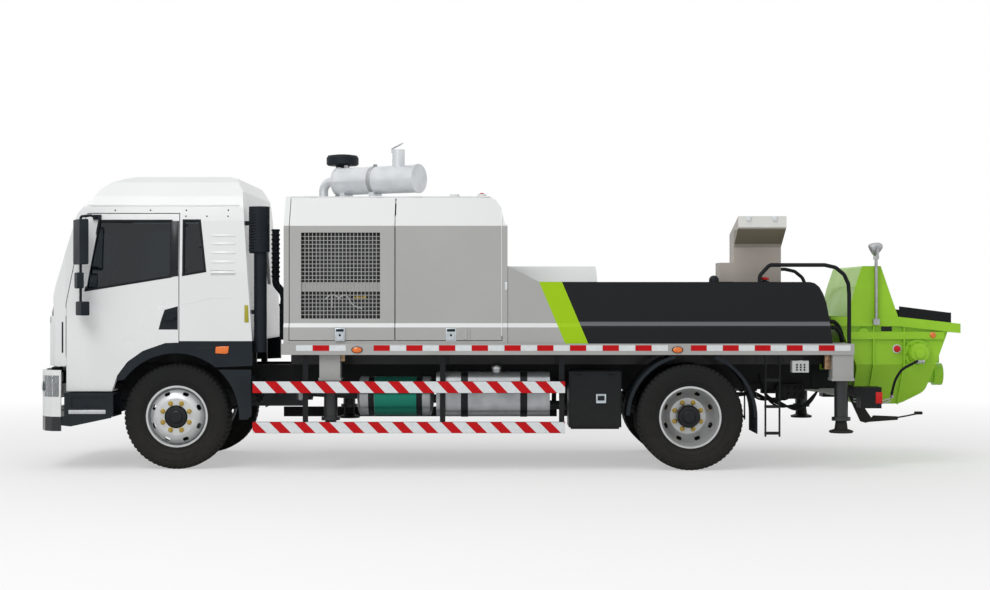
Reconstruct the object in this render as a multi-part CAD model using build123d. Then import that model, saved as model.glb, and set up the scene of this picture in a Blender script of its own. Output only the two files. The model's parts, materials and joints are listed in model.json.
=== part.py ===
from build123d import *
import math
import os

# A two-axle truck that carries a diesel concrete line pump: cab, ladder frame, power pack, pumping unit, hopper.
# Millimetres. X runs rearwards from the front axle, Y to the truck's right, Z up from the ground.
# Every piece is moved at export so that X is 0 at half of the overall length.

# Wheels and axles
wheelbase = 4950.0
tyre_diameter = 1018.0
tyre_width = 254.0
tyre_shoulder = 34.0
rim_diameter = 597.0
rim_width = 200.0
rim_wall = 10.0
front_track = 1940.0
dual_outer_y = 1108.0
dual_spacing = 296.0
kingpin_y = 868.0
kingpin_radius = 20.0
stud_circle_radius = 137.5
stud_radius = 11.0
stud_count = 8
hub_radius = 110.0
wheel_disc_thickness = 13.0
wheel_disc_root = 44.0
hub_flange_thickness = 20.0
drum_radius = 208.0
drum_bore_radius = 190.0
drum_width = 104.0
drum_web = 14.0
steer_cap_y = 176.0
drive_cap_y = 24.0
spindle_radius = 44.0
steer_bore_end = 100.0
fork_gap = 52.0
fork_arm = 34.0
axle_z = tyre_diameter / 2
wheel_offset = dual_spacing / 2

# Ladder frame
rail_half_width = 430.0
rail_height = 250.0
rail_flange = 80.0
rail_wall = 8.0
rail_top_z = 990.0
rail_front_x = -1180.0
rail_rear_x = 6330.0
tow_pin_x = -1270.0
tow_pin_y = -330.0
tow_pin_radius = 18.0
spring_width = 80.0
spring_half_span = 700.0
spring_leaf = 14.0
spring_eye_radius = 26.0
front_seat_z = 530.0
rear_seat_z = 650.0
front_eye_z = 640.0
rear_eye_z = 700.0

# Deck
subframe_height = 120.0
deck_front_x = 1028.0
deck_rear_x = 6517.0
deck_half_width = 1245.0
deck_rail_height = 107.0
deck_rail_lip = 46.0
deck_plate = 8.0
pump_slot_half_width = 400.0
pump_slot_front_x = 3460.0

# Cab
cab_wall = 46.0
cab_panel_bottom_z = 997.0
cab_floor_z = 1240.0
door_rear_x = 29.0
door_thickness = 70.0
door_gap = 8.0
arch_radius = 614.0
arch_trim_rear_x = 736.0
bumper_top_z = 962.0
bumper_bottom_z = 376.0
bumper_front_x = -1372.0
step_front_x = -1062.0
step_rear_x = -592.0
step_top_z = 746.0
step_bottom_z = 513.0
glass_thickness = 8.0
cab_pivot_x = -1310.0
cab_pivot_z = 950.0
cab_pivot_y = 550.0
cab_pivot_radius = 14.0
cab_eye_radius = 22.0
cab_rest_x = 620.0
door_hinge_x = -1056.0
door_hinge_y = 1138.0
hinge_radius = 9.0
seat_gap = 0.3

door_hinge_heights = (1010, 1480)
louvre_heights = (2281, 2153, 2024, 1896)
snorkel_x = 800.0

cab_side_points = [
    (-1330, 997), (-1330, 1300), (-1310, 1405), (-1205, 1700), (-1080, 2043), (-955, 2469), (-900, 2537),
    (-825, 2600), (-750, 2706), (-655, 2775), (-545, 2820), (-400, 2850), (0, 2862), (400, 2862), (560, 2822),
    (630, 2690), (645, 2537), (736, 1264), (736, 997),
]
cab_front_points = [
    (1150, 700), (1150, 1900), (1110, 2400), (1090, 2537), (1060, 2640), (980, 2780), (800, 2844), (0, 2862),
]
cab_plan_points = [
    (-1330, 0), (-1330, 600), (-1270, 900), (-1180, 1060), (-1060, 1140), (-900, 1150), (800, 1150), (800, 0),
]
door_points = [
    (-960, 2050), (-880, 2400), (-850, 2468), (door_rear_x, 2468), (door_rear_x, 1226), (-100, 1221), (-314, 1146),
    (-463, 1041), (-560, 911), (-613, 757), (-1052, 757), (-1052, 1600),
]
door_window_points = [(-742, 2399), (-46, 2399), (-46, 1861), (-860, 1729)]
quarter_window_points = [(78, 2399), (226, 2399), (282, 1914), (78, 1880)]
windscreen_points = [(-1010, 1480), (-950, 2330), (950, 2330), (1010, 1480)]
rear_window_points = [(-560, 1800), (-560, 2300), (560, 2300), (560, 1800)]

# Power pack housing
hood_front_x = 1048.0
hood_rear_x = 3197.0
hood_half_width = 1225.0
hood_top_z = 2640.0
hood_shoulder_z = 2348.0
hood_shoulder_inset = 190.0
hood_sheet = 30.0
hood_split_x = 2117.0
hood_gap = 14.0
grille_front_x = 1215.0
grille_rear_x = 1973.0
grille_bottom_z = 1457.0
grille_top_z = 2283.0
grille_pitch = 36.0
grille_wire = 6.0

hood_base_z = rail_top_z + 227.0
hood_sill_z = hood_base_z + 26.0
hood_end_wall = 50.0
skirt_step = 20.0
skirt_low_z = 1373.0
skirt_high_z = 1413.0

# Exhaust and intake
muffler_x = 1904.0
muffler_y = -450.0
muffler_z = 2836.0
muffler_radius = 138.0
muffler_length = 960.0
muffler_turn_deg = 30.0
muffler_tail_z = 3132.0
tail_shift = 244.0
tail_radius = 62.0
intake_cap_x = 1502.0
intake_cap_y = 60.0

# Pump bay covers
cover_top_z = 1809.0
cover_peak_z = 1963.0
cover_slope_end_x = 3499.0
cover_rear_x = 6313.0
cover_rear_top_x = 6108.0
cover_sheet = 30.0
cover_inner_y = 430.0
crown_side_z = 1820.0
crown_top_z = 1981.0
crown_rear_x = 4100.0
cabinet_front_x = 5406.0
cabinet_rear_x = 5868.0
cabinet_inner_y = 595.0
cabinet_outer_y = 905.0
cabinet_lid_gap = 0.3
cabinet_hinge_y = -589.0
cabinet_hinge_z = 2268.0
cabinet_pin_radius = 8.0
handrail_radius = 19.0

# Outriggers
jack_front_x = 1487.0
jack_rear_x = 6412.0
jack_front_y = 1060.0
jack_y = 1130.0
jack_rod_radius = 45.0
jack_tube_bottom_z = 500.0
jack_sleeve_side = 200.0
jack_sleeve_height = 250.0
jack_tube_radius = 66.0
jack_foot_radius = 118.0
jack_foot_z = 356.0

# Side guards
guard_front_x = 755.0
guard_rear_x = 3748.0
guard_rails = ((743.0, 857.0), (360.0, 468.0))

# Hopper and pumping unit
hopper_half_width = 720.0
hopper_foot_half_width = 430.0
hopper_plate = 12.0
hopper_rim_z = 1470.0
hopper_rim_half_width = 760.0
hopper_rim_front_x = 6384.0
hopper_rim_bend_x = 7048.0
hopper_bottom_z = 596.0
grate_front_x = 6560.0
grate_rear_x = 7500.0
grate_half_width = 690.0
grate_z = 1330.0
rim_rear_x = 7660.0
rim_rear_z = 1402.0
rim_depth = 92.0
hopper_mouth_z = 1390.0
work_lamp_x = 6820.0
underrun_x = 6545.0
swing_z = 875.0
port_drop = 115.0
port_half_pitch = 115.0
port_wall_x = 6650.0
s_tube_radius = 92.0
s_tube_wall = 12.0
delivery_radius = 105.0
water_box_front_x = 4640.0
water_box_rear_x = 4900.0
drive_cylinder_front_x = 3560.0
drive_cylinder_radius = 62.0
outlet_radius = 88.0
outlet_end_x = 7655.0
outlet_collar_radius = 112.0
outlet_collar_length = 90.0
outlet_seal_x = 7340.0
agitator_x = 7240.0
agitator_z = 1112.0
agitator_radius = 190.0
agitator_shaft_radius = 32.0
paddle_inner_y = 380.0
paddle_outer_y = 620.0
running_gap = 0.5
pump_tilt_deg = 8.0
swing_shaft_radius = 38.0
port_z = swing_z - port_drop

frame_shift_x = -(bumper_front_x + rim_rear_x) / 2


def block(x0, x1, y0, y1, z0, z1):
    """A box between two corners."""
    return Pos((x0 + x1) / 2, (y0 + y1) / 2, (z0 + z1) / 2) * Box(abs(x1 - x0), abs(y1 - y0), abs(z1 - z0))


def rod_x(x0, x1, y, z, radius):
    return Pos((x0 + x1) / 2, y, z) * Rot(0, 90, 0) * Cylinder(radius, abs(x1 - x0))


def rod_y(x, y0, y1, z, radius):
    return Pos(x, (y0 + y1) / 2, z) * Rot(90, 0, 0) * Cylinder(radius, abs(y1 - y0))


def rod_z(x, y, z0, z1, radius):
    return Pos(x, y, (z0 + z1) / 2) * Cylinder(radius, abs(z1 - z0))


def side_prism(points, y0, y1):
    """A side view outline of (x, z) points, extruded across the truck."""
    face = make_face(Polyline([(x, y0, z) for x, z in points], close=True))
    return extrude(face, amount=y1 - y0, dir=(0, 1, 0))


def front_prism(points, x0, x1):
    """A front view outline of (y, z) points, extruded along the truck."""
    face = make_face(Polyline([(x0, y, z) for y, z in points], close=True))
    return extrude(face, amount=x1 - x0, dir=(1, 0, 0))


def rounded_outline(points, radii):
    """A closed flat outline in the XY plane whose corners are rounded by their own radii."""
    sketch = make_face(Polyline([(u, v) for u, v in points], close=True))
    for (u, v), radius in zip(points, radii):
        if radius:
            corner = sketch.vertices().sort_by_distance((u, v, 0))[0]
            sketch = fillet(corner, radius)
    return sketch


def across(sketch, half_width):
    """An outline drawn as (x, z), extruded both ways across the truck."""
    return extrude(Plane((0, 0, 0), x_dir=(1, 0, 0), z_dir=(0, -1, 0)) * sketch, half_width, both=True)


def along(sketch, x0, x1):
    """An outline drawn as (y, z), extruded along the truck."""
    return extrude(Plane((x0, 0, 0), x_dir=(0, 1, 0), z_dir=(1, 0, 0)) * sketch, x1 - x0)


def upright(sketch, z0, z1):
    """An outline drawn as (x, y), extruded upwards."""
    return extrude(Pos(0, 0, z0) * sketch, z1 - z0)


def tube_path(points, radius, bend):
    """A round bar along straight runs with one bend radius."""
    path = FilletPolyline(points, radius=bend)
    section = Plane(origin=path @ 0, z_dir=path % 0) * Circle(radius)
    return sweep(section, path=path)


def joined(shapes):
    """Several touching solids made one."""
    first, rest = shapes[0], list(shapes[1:])
    return first.fuse(*rest).clean() if rest else first


def solids_of(shape):
    if isinstance(shape, (list, tuple)):
        return [s for item in shape for s in solids_of(item)]
    return list(shape.solids())


def save(name, *shapes):
    """Writes one sub-part with the origin moved to half of the overall length."""
    os.makedirs("parts", exist_ok=True)
    found = solids_of(list(shapes))
    export_step(Pos(frame_shift_x, 0, 0) * Compound(children=found), f"parts/{name}.step")


def tyre(x, y):
    """A radial tyre out to its tread blocks, with three grooves round its crown."""
    bead, edge = rim_diameter / 2 - 10.5, rim_width / 2 - 0.5
    crown, side = tyre_diameter / 2, tyre_width / 2
    shoulder = side - tyre_shoulder
    half = [(bead, edge), (bead + 15, edge)]
    wall = ThreePointArc((bead + 15, edge), (bead + 110, side), (crown - 26, side - 12))
    corner = ThreePointArc((crown - 26, side - 12), (crown - 7, side - 20), (crown, shoulder))
    lines = [Line(half[0], half[1]), wall, corner]
    lines += [mirror(line, about=Plane.XZ) for line in lines]
    lines += [Line((bead, edge), (bead, -edge)), Line((crown, shoulder), (crown, -shoulder))]
    ring = revolve(make_face(lines), Axis.Y)
    for groove_y in (-46, 0, 46):
        cutter = Rot(90, 0, 0) * (Cylinder(crown + 5, 11) - Cylinder(crown - 11, 11))
        ring -= Pos(0, groove_y, 0) * cutter
    return Pos(x, y, axle_z) * ring


def rim_barrel():
    """The pressed rim: drop centre barrel with a rolled flange at each side."""
    seat, edge = rim_diameter / 2 - 11, rim_width / 2
    inner = seat - rim_wall
    profile = [
        (seat, -edge), (rim_diameter / 2, -edge), (rim_diameter / 2, -edge - 8), (inner + 3, -edge - 8),
        (inner - 4, -edge + 30), (inner - 22, -30), (inner - 22, 20), (inner - 4, edge - 30),
        (inner + 3, edge + 8), (rim_diameter / 2, edge + 8), (rim_diameter / 2, edge), (seat, edge),
        (seat - 2, edge - 36), (seat - 20, 24), (seat - 20, -34), (seat - 2, -edge + 36),
    ]
    return revolve(make_face(Polyline([(r, v, 0) for r, v in profile], close=True)), Axis.Y)


def wheel_disc():
    """The bell-shaped disc: its convex bolting face stands one wheel offset from the rim's middle."""
    face, root, thick = wheel_offset, wheel_disc_root, wheel_disc_thickness
    bolting = stud_circle_radius + 42
    welded = rim_diameter / 2 - 30.5
    mid_r, mid_y = (bolting + welded) / 2 + 14, (face + root) / 2 + 18
    bore = hub_radius + seat_gap
    edges = [
        Line((bore, face), (bolting, face)),
        ThreePointArc((bolting, face), (mid_r, mid_y), (welded, root)),
        Line((welded, root), (welded, root - thick)),
        ThreePointArc((welded, root - thick), (mid_r - thick, mid_y - thick + 2), (bolting - 6, face - thick)),
        Line((bolting - 6, face - thick), (bore, face - thick)),
        Line((bore, face - thick), (bore, face)),
    ]
    disc = revolve(make_face(edges), Axis.Y)
    hole = extrude(Plane.XZ * SlotOverall(58, 34), 200, both=True)
    stud_hole = rod_y(0, 0, face + 20, 0, stud_radius + seat_gap)
    for k in range(stud_count):
        angle = (k + 0.5) * 360 / stud_count
        disc -= Rot(0, angle, 0) * (Pos(0, 0, mid_r - 6) * hole)
        disc -= Rot(0, angle, 0) * (Pos(0, 0, stud_circle_radius) * stud_hole)
    return disc


def hub(cap_y, flange_y, nut_y, drum_y):
    """Hub with its flange, wheel nuts, end cap and brake drum; drum_y is the outboard end of the drum."""
    profile = [
        (0, drum_y - drum_web), (hub_radius, drum_y - drum_web), (hub_radius, cap_y - 34),
        (hub_radius - 12, cap_y - 18), (66, cap_y - 14), (60, cap_y - 4), (48, cap_y), (0, cap_y),
    ]
    body = revolve(make_face(Polyline([(r, v, 0) for r, v in profile], close=True)), Axis.Y)
    drum = rod_y(0, drum_y - drum_width, drum_y, 0, drum_radius)
    drum -= rod_y(0, drum_y - drum_width - 5, drum_y - drum_web, 0, drum_bore_radius)
    flange = rod_y(0, flange_y - hub_flange_thickness, flange_y, 0, stud_circle_radius + 36)
    fasteners = []
    for k in range(stud_count):
        angle = (k + 0.5) * 360 / stud_count
        nut = Pos(0, nut_y + 11, 0) * (Rot(90, 0, 0) * extrude(RegularPolygon(18, 6), 11, both=True))
        stud = rod_y(0, flange_y - 6, nut_y + 34, 0, stud_radius)
        for piece in (nut, stud):
            fasteners.append(Rot(0, angle, 0) * (Pos(0, 0, stud_circle_radius) * piece))
    return joined([body, drum, flange, *fasteners])


def wheel_positions():
    """Name and side of each wheel end; side is -1 on the truck's left."""
    return [("left", -1), ("right", 1)]


def placed(shape, side, x, y, z):
    """A piece drawn for the right side, set at its place on either side."""
    turned = shape if side > 0 else mirror(shape, about=Plane.XZ)
    return Pos(x, side * y, z) * turned


def make_wheels():
    """Single front wheels, and twin rear wheels clamped face to face that turn as one."""
    front_y = front_track / 2
    inner_y = dual_outer_y - dual_spacing
    outward_rim = joined([rim_barrel(), wheel_disc()])
    inward_rim = mirror(outward_rim, about=Plane.XZ)
    steer_flange = wheel_offset - wheel_disc_thickness - seat_gap
    steer_hub = hub(steer_cap_y, steer_flange, wheel_offset + seat_gap, 26.0)
    steer_hub -= rod_y(0, -20, steer_bore_end, 0, spindle_radius + 0.5)
    drive_flange = -wheel_offset - wheel_disc_thickness - seat_gap
    drive_nut = -wheel_offset + wheel_disc_thickness + seat_gap
    drive_hub = hub(drive_cap_y, drive_flange, drive_nut, -dual_spacing + 40.0)
    for side_name, side in wheel_positions():
        save(f"tyre_front_{side_name}", tyre(0, side * front_y))
        front_wheel = [placed(shape, side, 0, front_y, axle_z) for shape in (outward_rim, steer_hub)]
        save(f"wheel_front_{side_name}", *front_wheel)
        save(f"tyres_rear_{side_name}", tyre(wheelbase, side * dual_outer_y), tyre(wheelbase, side * inner_y))
        rims = [
            placed(inward_rim, side, wheelbase, dual_outer_y + seat_gap / 2, axle_z),
            placed(outward_rim, side, wheelbase, inner_y - seat_gap / 2, axle_z),
            placed(drive_hub, side, wheelbase, dual_outer_y, axle_z),
        ]
        save(f"wheels_rear_{side_name}", *rims)


def make_knuckles():
    """Forked knuckle, backing plate and spindle that steer about the kingpin."""
    top = fork_gap + fork_arm
    for side_name, side in wheel_positions():
        arms = []
        for up in (-1, 1):
            z0, z1 = sorted((axle_z + up * fork_gap, axle_z + up * top))
            arms.append(rod_z(0, side * kingpin_y, z0, z1, 50))
            arms.append(block(-34, 34, side * kingpin_y, side * (kingpin_y + 70), z0, z1))
        web = block(-40, 40, side * (kingpin_y + 56), side * (kingpin_y + 76), axle_z - top, axle_z + top)
        plate = rod_y(0, side * (kingpin_y + 58), side * (kingpin_y + 66), axle_z, drum_bore_radius - 6)
        pin = rod_z(0, side * kingpin_y, axle_z - top + 4, axle_z + top - 4, kingpin_radius)
        spindle_end = front_track / 2 + steer_bore_end - seat_gap
        spindle = rod_y(0, side * (kingpin_y + 70), side * spindle_end, axle_z, spindle_radius)
        save(f"knuckle_{side_name}", joined([*arms, web, plate, pin, spindle]))


def leaf_pack(x, y, eye_z, seat_z):
    """Three bowed leaves under one rail, ending in rolled eyes."""
    rise = eye_z - seat_z
    leaves = []
    for k in range(3):
        span = spring_half_span * (1 - 0.22 * k)
        drop = rise * (span / spring_half_span) ** 2
        base = seat_z - k * spring_leaf
        top = [(x - span, y, base + drop), (x, y, base), (x + span, y, base + drop)]
        upper = ThreePointArc(*top)
        lower = ThreePointArc(*[(u, v, w - spring_leaf) for u, v, w in top])
        ends = [Line(upper @ 0, lower @ 0), Line(upper @ 1, lower @ 1)]
        face = make_face([upper, lower, *ends])
        leaves.append(extrude(face, spring_width / 2, dir=(0, 1, 0), both=True))
    for end in (-1, 1):
        leaves.append(rod_y(x + end * (spring_half_span + 10), y - spring_width / 2, y + spring_width / 2,
                            eye_z - 6, spring_eye_radius))
    return joined(leaves)


def make_frame():
    """Channel rails, crossmembers, spring hangers and the front towing crossmember of the ladder frame."""
    bottom = rail_top_z - rail_height
    pieces = []
    for side in (-1, 1):
        outer = side * rail_half_width
        web = block(rail_front_x, rail_rear_x, outer, outer - side * rail_wall, bottom, rail_top_z)
        top = block(rail_front_x, rail_rear_x, outer, outer - side * rail_flange, rail_top_z - rail_wall, rail_top_z)
        foot = block(rail_front_x, rail_rear_x, outer, outer - side * rail_flange, bottom, bottom + rail_wall)
        pieces += [web, top, foot]
        for axle_x, eye_z in ((0, front_eye_z), (wheelbase, rear_eye_z)):
            eye_top = eye_z - 6 + spring_eye_radius + seat_gap
            for x in (axle_x - spring_half_span - 10, axle_x + spring_half_span + 10):
                hanger = side_prism([(x - 75, bottom + 60), (x + 75, bottom + 60), (x + 34, eye_top),
                                     (x - 34, eye_top)], outer - side * spring_width / 2, outer + side * 24)
                pieces.append(hanger)
    for x, low in ((rail_front_x + 60, 40), (1250, 40), (2700, 40), (3800, 40), (6240, 200)):
        span = rail_half_width - rail_wall / 2
        pieces.append(block(x - 50, x + 50, -span, span, bottom + low, bottom + low + 8))
        pieces.append(block(x - 50, x - 42, -span, span, bottom + low, rail_top_z - 12))
    for side in (-1, 1):
        horn = block(rail_front_x - 70, rail_front_x + 60, side * 386, side * 424, bottom + 60, bottom + 190)
        pieces.append(horn)
    tow_eye = block(rail_front_x - 120, rail_front_x - 60, -470, 470, bottom + 60, bottom + 76)
    tow_eye += block(rail_front_x - 120, rail_front_x - 60, -470, 470, bottom + 174, bottom + 190)
    tow_eye += block(rail_front_x - 68, rail_front_x - 60, -470, 470, bottom + 60, bottom + 190)
    pieces.append(tow_eye)
    for side in (-1, 1):
        for y in (cab_pivot_y - 42, cab_pivot_y + 42):
            pieces.append(block(cab_pivot_x - 20, rail_front_x - 62, side * (y - 8), side * (y + 8), bottom + 176,
                                cab_pivot_z + 20))
        pieces.append(block(cab_pivot_x + 32, rail_front_x - 62, side * 380, side * (cab_pivot_y + 50), bottom + 176,
                            bottom + 190))
        pieces.append(rod_y(cab_pivot_x, side * (cab_pivot_y - 54), side * (cab_pivot_y + 54), cab_pivot_z,
                            cab_pivot_radius))
        pieces.append(block(cab_rest_x, cab_rest_x + 60, side * (rail_half_width - 60), side * rail_half_width,
                            rail_top_z - 4, cab_floor_z - seat_gap))
    pieces.append(block(cab_rest_x, cab_rest_x + 60, -rail_half_width, rail_half_width, cab_floor_z - 60,
                        cab_floor_z - seat_gap))
    body = joined(pieces) - rod_z(tow_pin_x, tow_pin_y, bottom, rail_top_z, tow_pin_radius)
    save("frame_rails", body)


def make_axles():
    """Drop beam front axle, and a drive axle with a round differential housing."""
    beam_points = [
        (-kingpin_y, axle_z), (-kingpin_y + 110, axle_z), (-590, axle_z - 110),
        (590, axle_z - 110), (kingpin_y - 110, axle_z), (kingpin_y, axle_z),
    ]
    depth = 46.0
    upper = [(y, z + depth) for y, z in beam_points]
    lower = [(y, z - depth) for y, z in reversed(beam_points)]
    beam = front_prism(upper + lower, -42, 42)
    for side in (-1, 1):
        beam += rod_z(0, side * kingpin_y, axle_z - depth, axle_z + depth, 46)
        beam -= rod_z(0, side * kingpin_y, axle_z - 80, axle_z + 80, kingpin_radius + 0.5)
        saddle_bottom = axle_z - 110 + depth - 2
        beam += block(-70, 70, side * rail_half_width - 52, side * rail_half_width + 52, saddle_bottom,
                      front_seat_z - 3 * spring_leaf - seat_gap)
    drum_face = dual_outer_y - dual_spacing + 40 - drum_web - seat_gap
    drum_mouth = dual_outer_y - dual_spacing + 40 - drum_width
    housing = rod_y(wheelbase, -drum_face, drum_face, axle_z, 66)
    bowl = Pos(wheelbase, 0, axle_z) * Sphere(205)
    bowl &= block(wheelbase - 150, wheelbase + 150, -210, 210, axle_z - 210, axle_z + 210)
    pinion = rod_x(wheelbase - 330, wheelbase - 60, 0, axle_z, 88)
    ends = [rod_y(wheelbase, s * (drum_mouth - 16), s * (drum_mouth - 8), axle_z, 196) for s in (-1, 1)]
    saddles = [block(wheelbase - 80, wheelbase + 80, s * rail_half_width - 56, s * rail_half_width + 56,
                     axle_z + 40, rear_seat_z - 3 * spring_leaf - seat_gap) for s in (-1, 1)]
    save("axles", beam, joined([housing, bowl, pinion, *ends, *saddles]))


def make_springs():
    """Leaf packs that seat on the axle saddles."""
    packs = []
    for side in (-1, 1):
        packs.append(leaf_pack(0, side * rail_half_width, 640, front_seat_z))
        packs.append(leaf_pack(wheelbase, side * rail_half_width, 700, rear_seat_z))
    save("leaf_springs", *packs)


def make_drivetrain():
    """Truck engine as one plain block, gearbox and propeller shaft."""
    engine = block(-560, 380, -330, 330, 600, 1130)
    box = front_prism([(-200, 560), (200, 560), (230, 720), (150, 860), (-150, 860), (-230, 720)], 378, 1120)
    shaft_rear = wheelbase - 330 - seat_gap
    fall = math.degrees(math.atan2(690 - axle_z, shaft_rear - 1180))
    length = math.hypot(690 - axle_z, shaft_rear - 1180)
    shaft = Pos((1180 + shaft_rear) / 2, 0, (690 + axle_z) / 2) * Rot(0, 90 + fall, 0) * Cylinder(45, length - 60)
    flange = rod_x(1118, 1200, 0, 690, 80)
    joint = rod_x(shaft_rear - 60, shaft_rear, 0, axle_z, 74)
    mounts = [block(x - 40, x + 40, s * 326, s * (rail_half_width - rail_wall - seat_gap), 760, 800)
              for x in (-420, 240) for s in (-1, 1)]
    save("drivetrain", joined([engine, box, shaft, flange, joint, *mounts]))


def make_deck():
    """Deck side rails, floor plate round the pump slot, crossmembers and subframe."""
    bottom, top = rail_top_z + subframe_height, rail_top_z + subframe_height + deck_rail_height
    slot = pump_slot_half_width
    pieces = []
    for side in (-1, 1):
        outer, inner = side * deck_half_width, side * (deck_half_width - deck_rail_lip)
        pieces.append(block(deck_front_x, deck_rear_x, outer, outer - side * 8, bottom, top))
        pieces.append(block(deck_front_x, deck_rear_x, outer, inner, bottom, bottom + 8))
        pieces.append(block(deck_front_x, deck_rear_x, outer, inner, bottom + 62, bottom + 68))
        pieces.append(block(deck_front_x, deck_rear_x, outer, side * slot, top - deck_plate, top))
        beam_y0, beam_y1 = side * (rail_half_width - rail_flange), side * rail_half_width
        pieces.append(block(deck_front_x, rail_rear_x + 120, beam_y0, beam_y1, rail_top_z + seat_gap, bottom + 99))
        pitch = (deck_rear_x - deck_front_x - 60) / 8
        for k in range(9):
            x = deck_front_x + k * pitch
            pieces.append(block(x, x + 60, side * (rail_half_width - 8), outer - side * 4, bottom, top - 4))
    pieces.append(block(deck_front_x, pump_slot_front_x, -slot - 5, slot + 5, top - deck_plate, top))
    pieces.append(block(deck_front_x, deck_front_x + 60, -rail_half_width, rail_half_width, bottom, top - 4))
    pieces.append(block(3300, 3360, -rail_half_width, rail_half_width, bottom, top - 4))
    save("deck", joined(pieces))


def jack_places():
    """Name, x and signed y of the four outrigger legs."""
    return [
        (f"{end}_{side_name}", x, side * y)
        for end, x, y in (("front", jack_front_x, jack_front_y), ("rear", jack_rear_x, jack_y))
        for side_name, side in wheel_positions()
    ]


def make_outriggers():
    """Sleeves and stub beams on the frame, and four legs that slide down."""
    fixed = []
    sleeve_top = rail_top_z + subframe_height - seat_gap
    sleeve_bottom = sleeve_top - jack_sleeve_height
    half = jack_sleeve_side / 2
    for name, x, y in jack_places():
        side = 1 if y > 0 else -1
        sleeve = block(x - half, x + half, y - half, y + half, sleeve_bottom, sleeve_top)
        band = block(x - half - 8, x + half + 8, y - half - 8, y + half + 8, sleeve_bottom, sleeve_bottom + 26)
        tube = rod_z(x, y, jack_tube_bottom_z, sleeve_top - 40, jack_tube_radius)
        collar = rod_z(x, y, jack_tube_bottom_z - 26, jack_tube_bottom_z + 8, jack_tube_radius + 24)
        beam = block(x - 62, x + 62, side * (rail_half_width + seat_gap), y - side * (half - 2), sleeve_top - 160,
                     sleeve_top)
        bore = rod_z(x, y, jack_tube_bottom_z - 40, sleeve_top - 60, jack_rod_radius + 0.5)
        fixed.append(joined([sleeve, band, tube, collar, beam]) - bore)
        foot_top = jack_tube_bottom_z - 26 - 6
        profile = [
            (0, jack_foot_z), (jack_foot_radius - 10, jack_foot_z), (jack_foot_radius, jack_foot_z + 14),
            (jack_foot_radius - 6, jack_foot_z + 22), (64, jack_foot_z + 38), (54, foot_top),
            (jack_rod_radius, foot_top), (jack_rod_radius, sleeve_top - 64), (0, sleeve_top - 64),
        ]
        leg = revolve(make_face(Polyline([(r, 0, z) for r, z in profile], close=True)), Axis.Z)
        save(f"jack_{name}", Pos(x, y, 0) * leg)
    save("outrigger_sleeves", *fixed)


def make_tanks():
    """Strapped fuel tank, reservoirs and locker boxes hung on both rails."""
    tank_x0, tank_x1, tank_z0, tank_z1 = 2511.0, 3604.0, 510.0, 935.0
    tank_y0, tank_y1 = 730.0, 1170.0
    outline = rounded_outline(
        [(tank_y0, tank_z0), (tank_y1, tank_z0), (tank_y1, tank_z1), (tank_y0, tank_z1)], [60, 110, 110, 60])
    body = along(outline, tank_x0, tank_x1)
    band_outline = rounded_outline(
        [(tank_y0 - 5, tank_z0 - 5), (tank_y1 + 5, tank_z0 - 5), (tank_y1 + 5, tank_z1 + 5),
         (tank_y0 - 5, tank_z1 + 5)], [64, 114, 114, 64])
    pieces = [body]
    for x in (2748.0, 3319.0):
        pieces.append(along(band_outline, x, x + 68))
        pieces.append(block(x - 10, x + 62, rail_half_width + seat_gap, tank_y0 + 40, tank_z0 + 330, tank_z0 + 390))
    pieces.append(rod_z(3090, 1010, tank_z1 - 5, tank_z1 + 44, 46))
    tank = joined(pieces)
    reservoirs = []
    for y, z, radius, x0, x1 in ((-1000.0, 705.0, 190.0, 1762.0, 2463.0), (1010.0, 760.0, 120.0, 1762.0, 2463.0),
                                 (760.0, 760.0, 120.0, 1762.0, 2463.0)):
        shell = rod_x(x0 + 20, x1 - 20, y, z, radius)
        inner_end = rail_half_width + seat_gap
        side = 1 if y > 0 else -1
        parts = [shell]
        for end in (x0 + 20, x1 - 20):
            dome = Pos(end, y, z) * scale(Sphere(radius), (0.22, 1, 1))
            parts.append(dome)
        for x in (x0 + 95, x1 - 144):
            parts.append(rod_x(x, x + 56, y, z, radius + 5))
            if abs(y) < 1005 and abs(y) > 700:
                parts.append(block(x, x + 56, side * inner_end, y, rail_top_z - 230, rail_top_z - 170))
        reservoirs.append(joined(parts))
    link = [block(1762 + 95, 1762 + 151, 760, 1010, 730, 790), block(2463 - 144, 2463 - 88, 760, 1010, 730, 790)]
    right = joined([reservoirs[1], reservoirs[2], *link])
    save("tanks", mirror(tank, about=Plane.XZ), reservoirs[0], right)
    locker_x0, locker_x1, locker_z0, locker_z1 = 3787.0, 4290.0, 412.0, 949.0
    lockers = []
    for side in (-1, 1):
        shell = block(locker_x0, locker_x1, side * 740, side * 1200, locker_z0, locker_z1)
        sill = block(locker_x0 + 20, locker_x1 - 20, side * 740, side * 1160, locker_z0 - 18, locker_z0)
        door = block(locker_x0 + 14, locker_x1 - 14, side * 1190, side * 1208, locker_z0 + 14, locker_z1 - 14)
        latch = block(4040, 4148, side * 1200, side * 1214, 640, 740)
        arms = [block(x, x + 60, side * (rail_half_width + seat_gap), side * 760, 800, 860) for x in (3850, 4150)]
        lockers.append(joined([shell, sill, door, latch, *arms]))
    save("lockers", *lockers)


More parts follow.
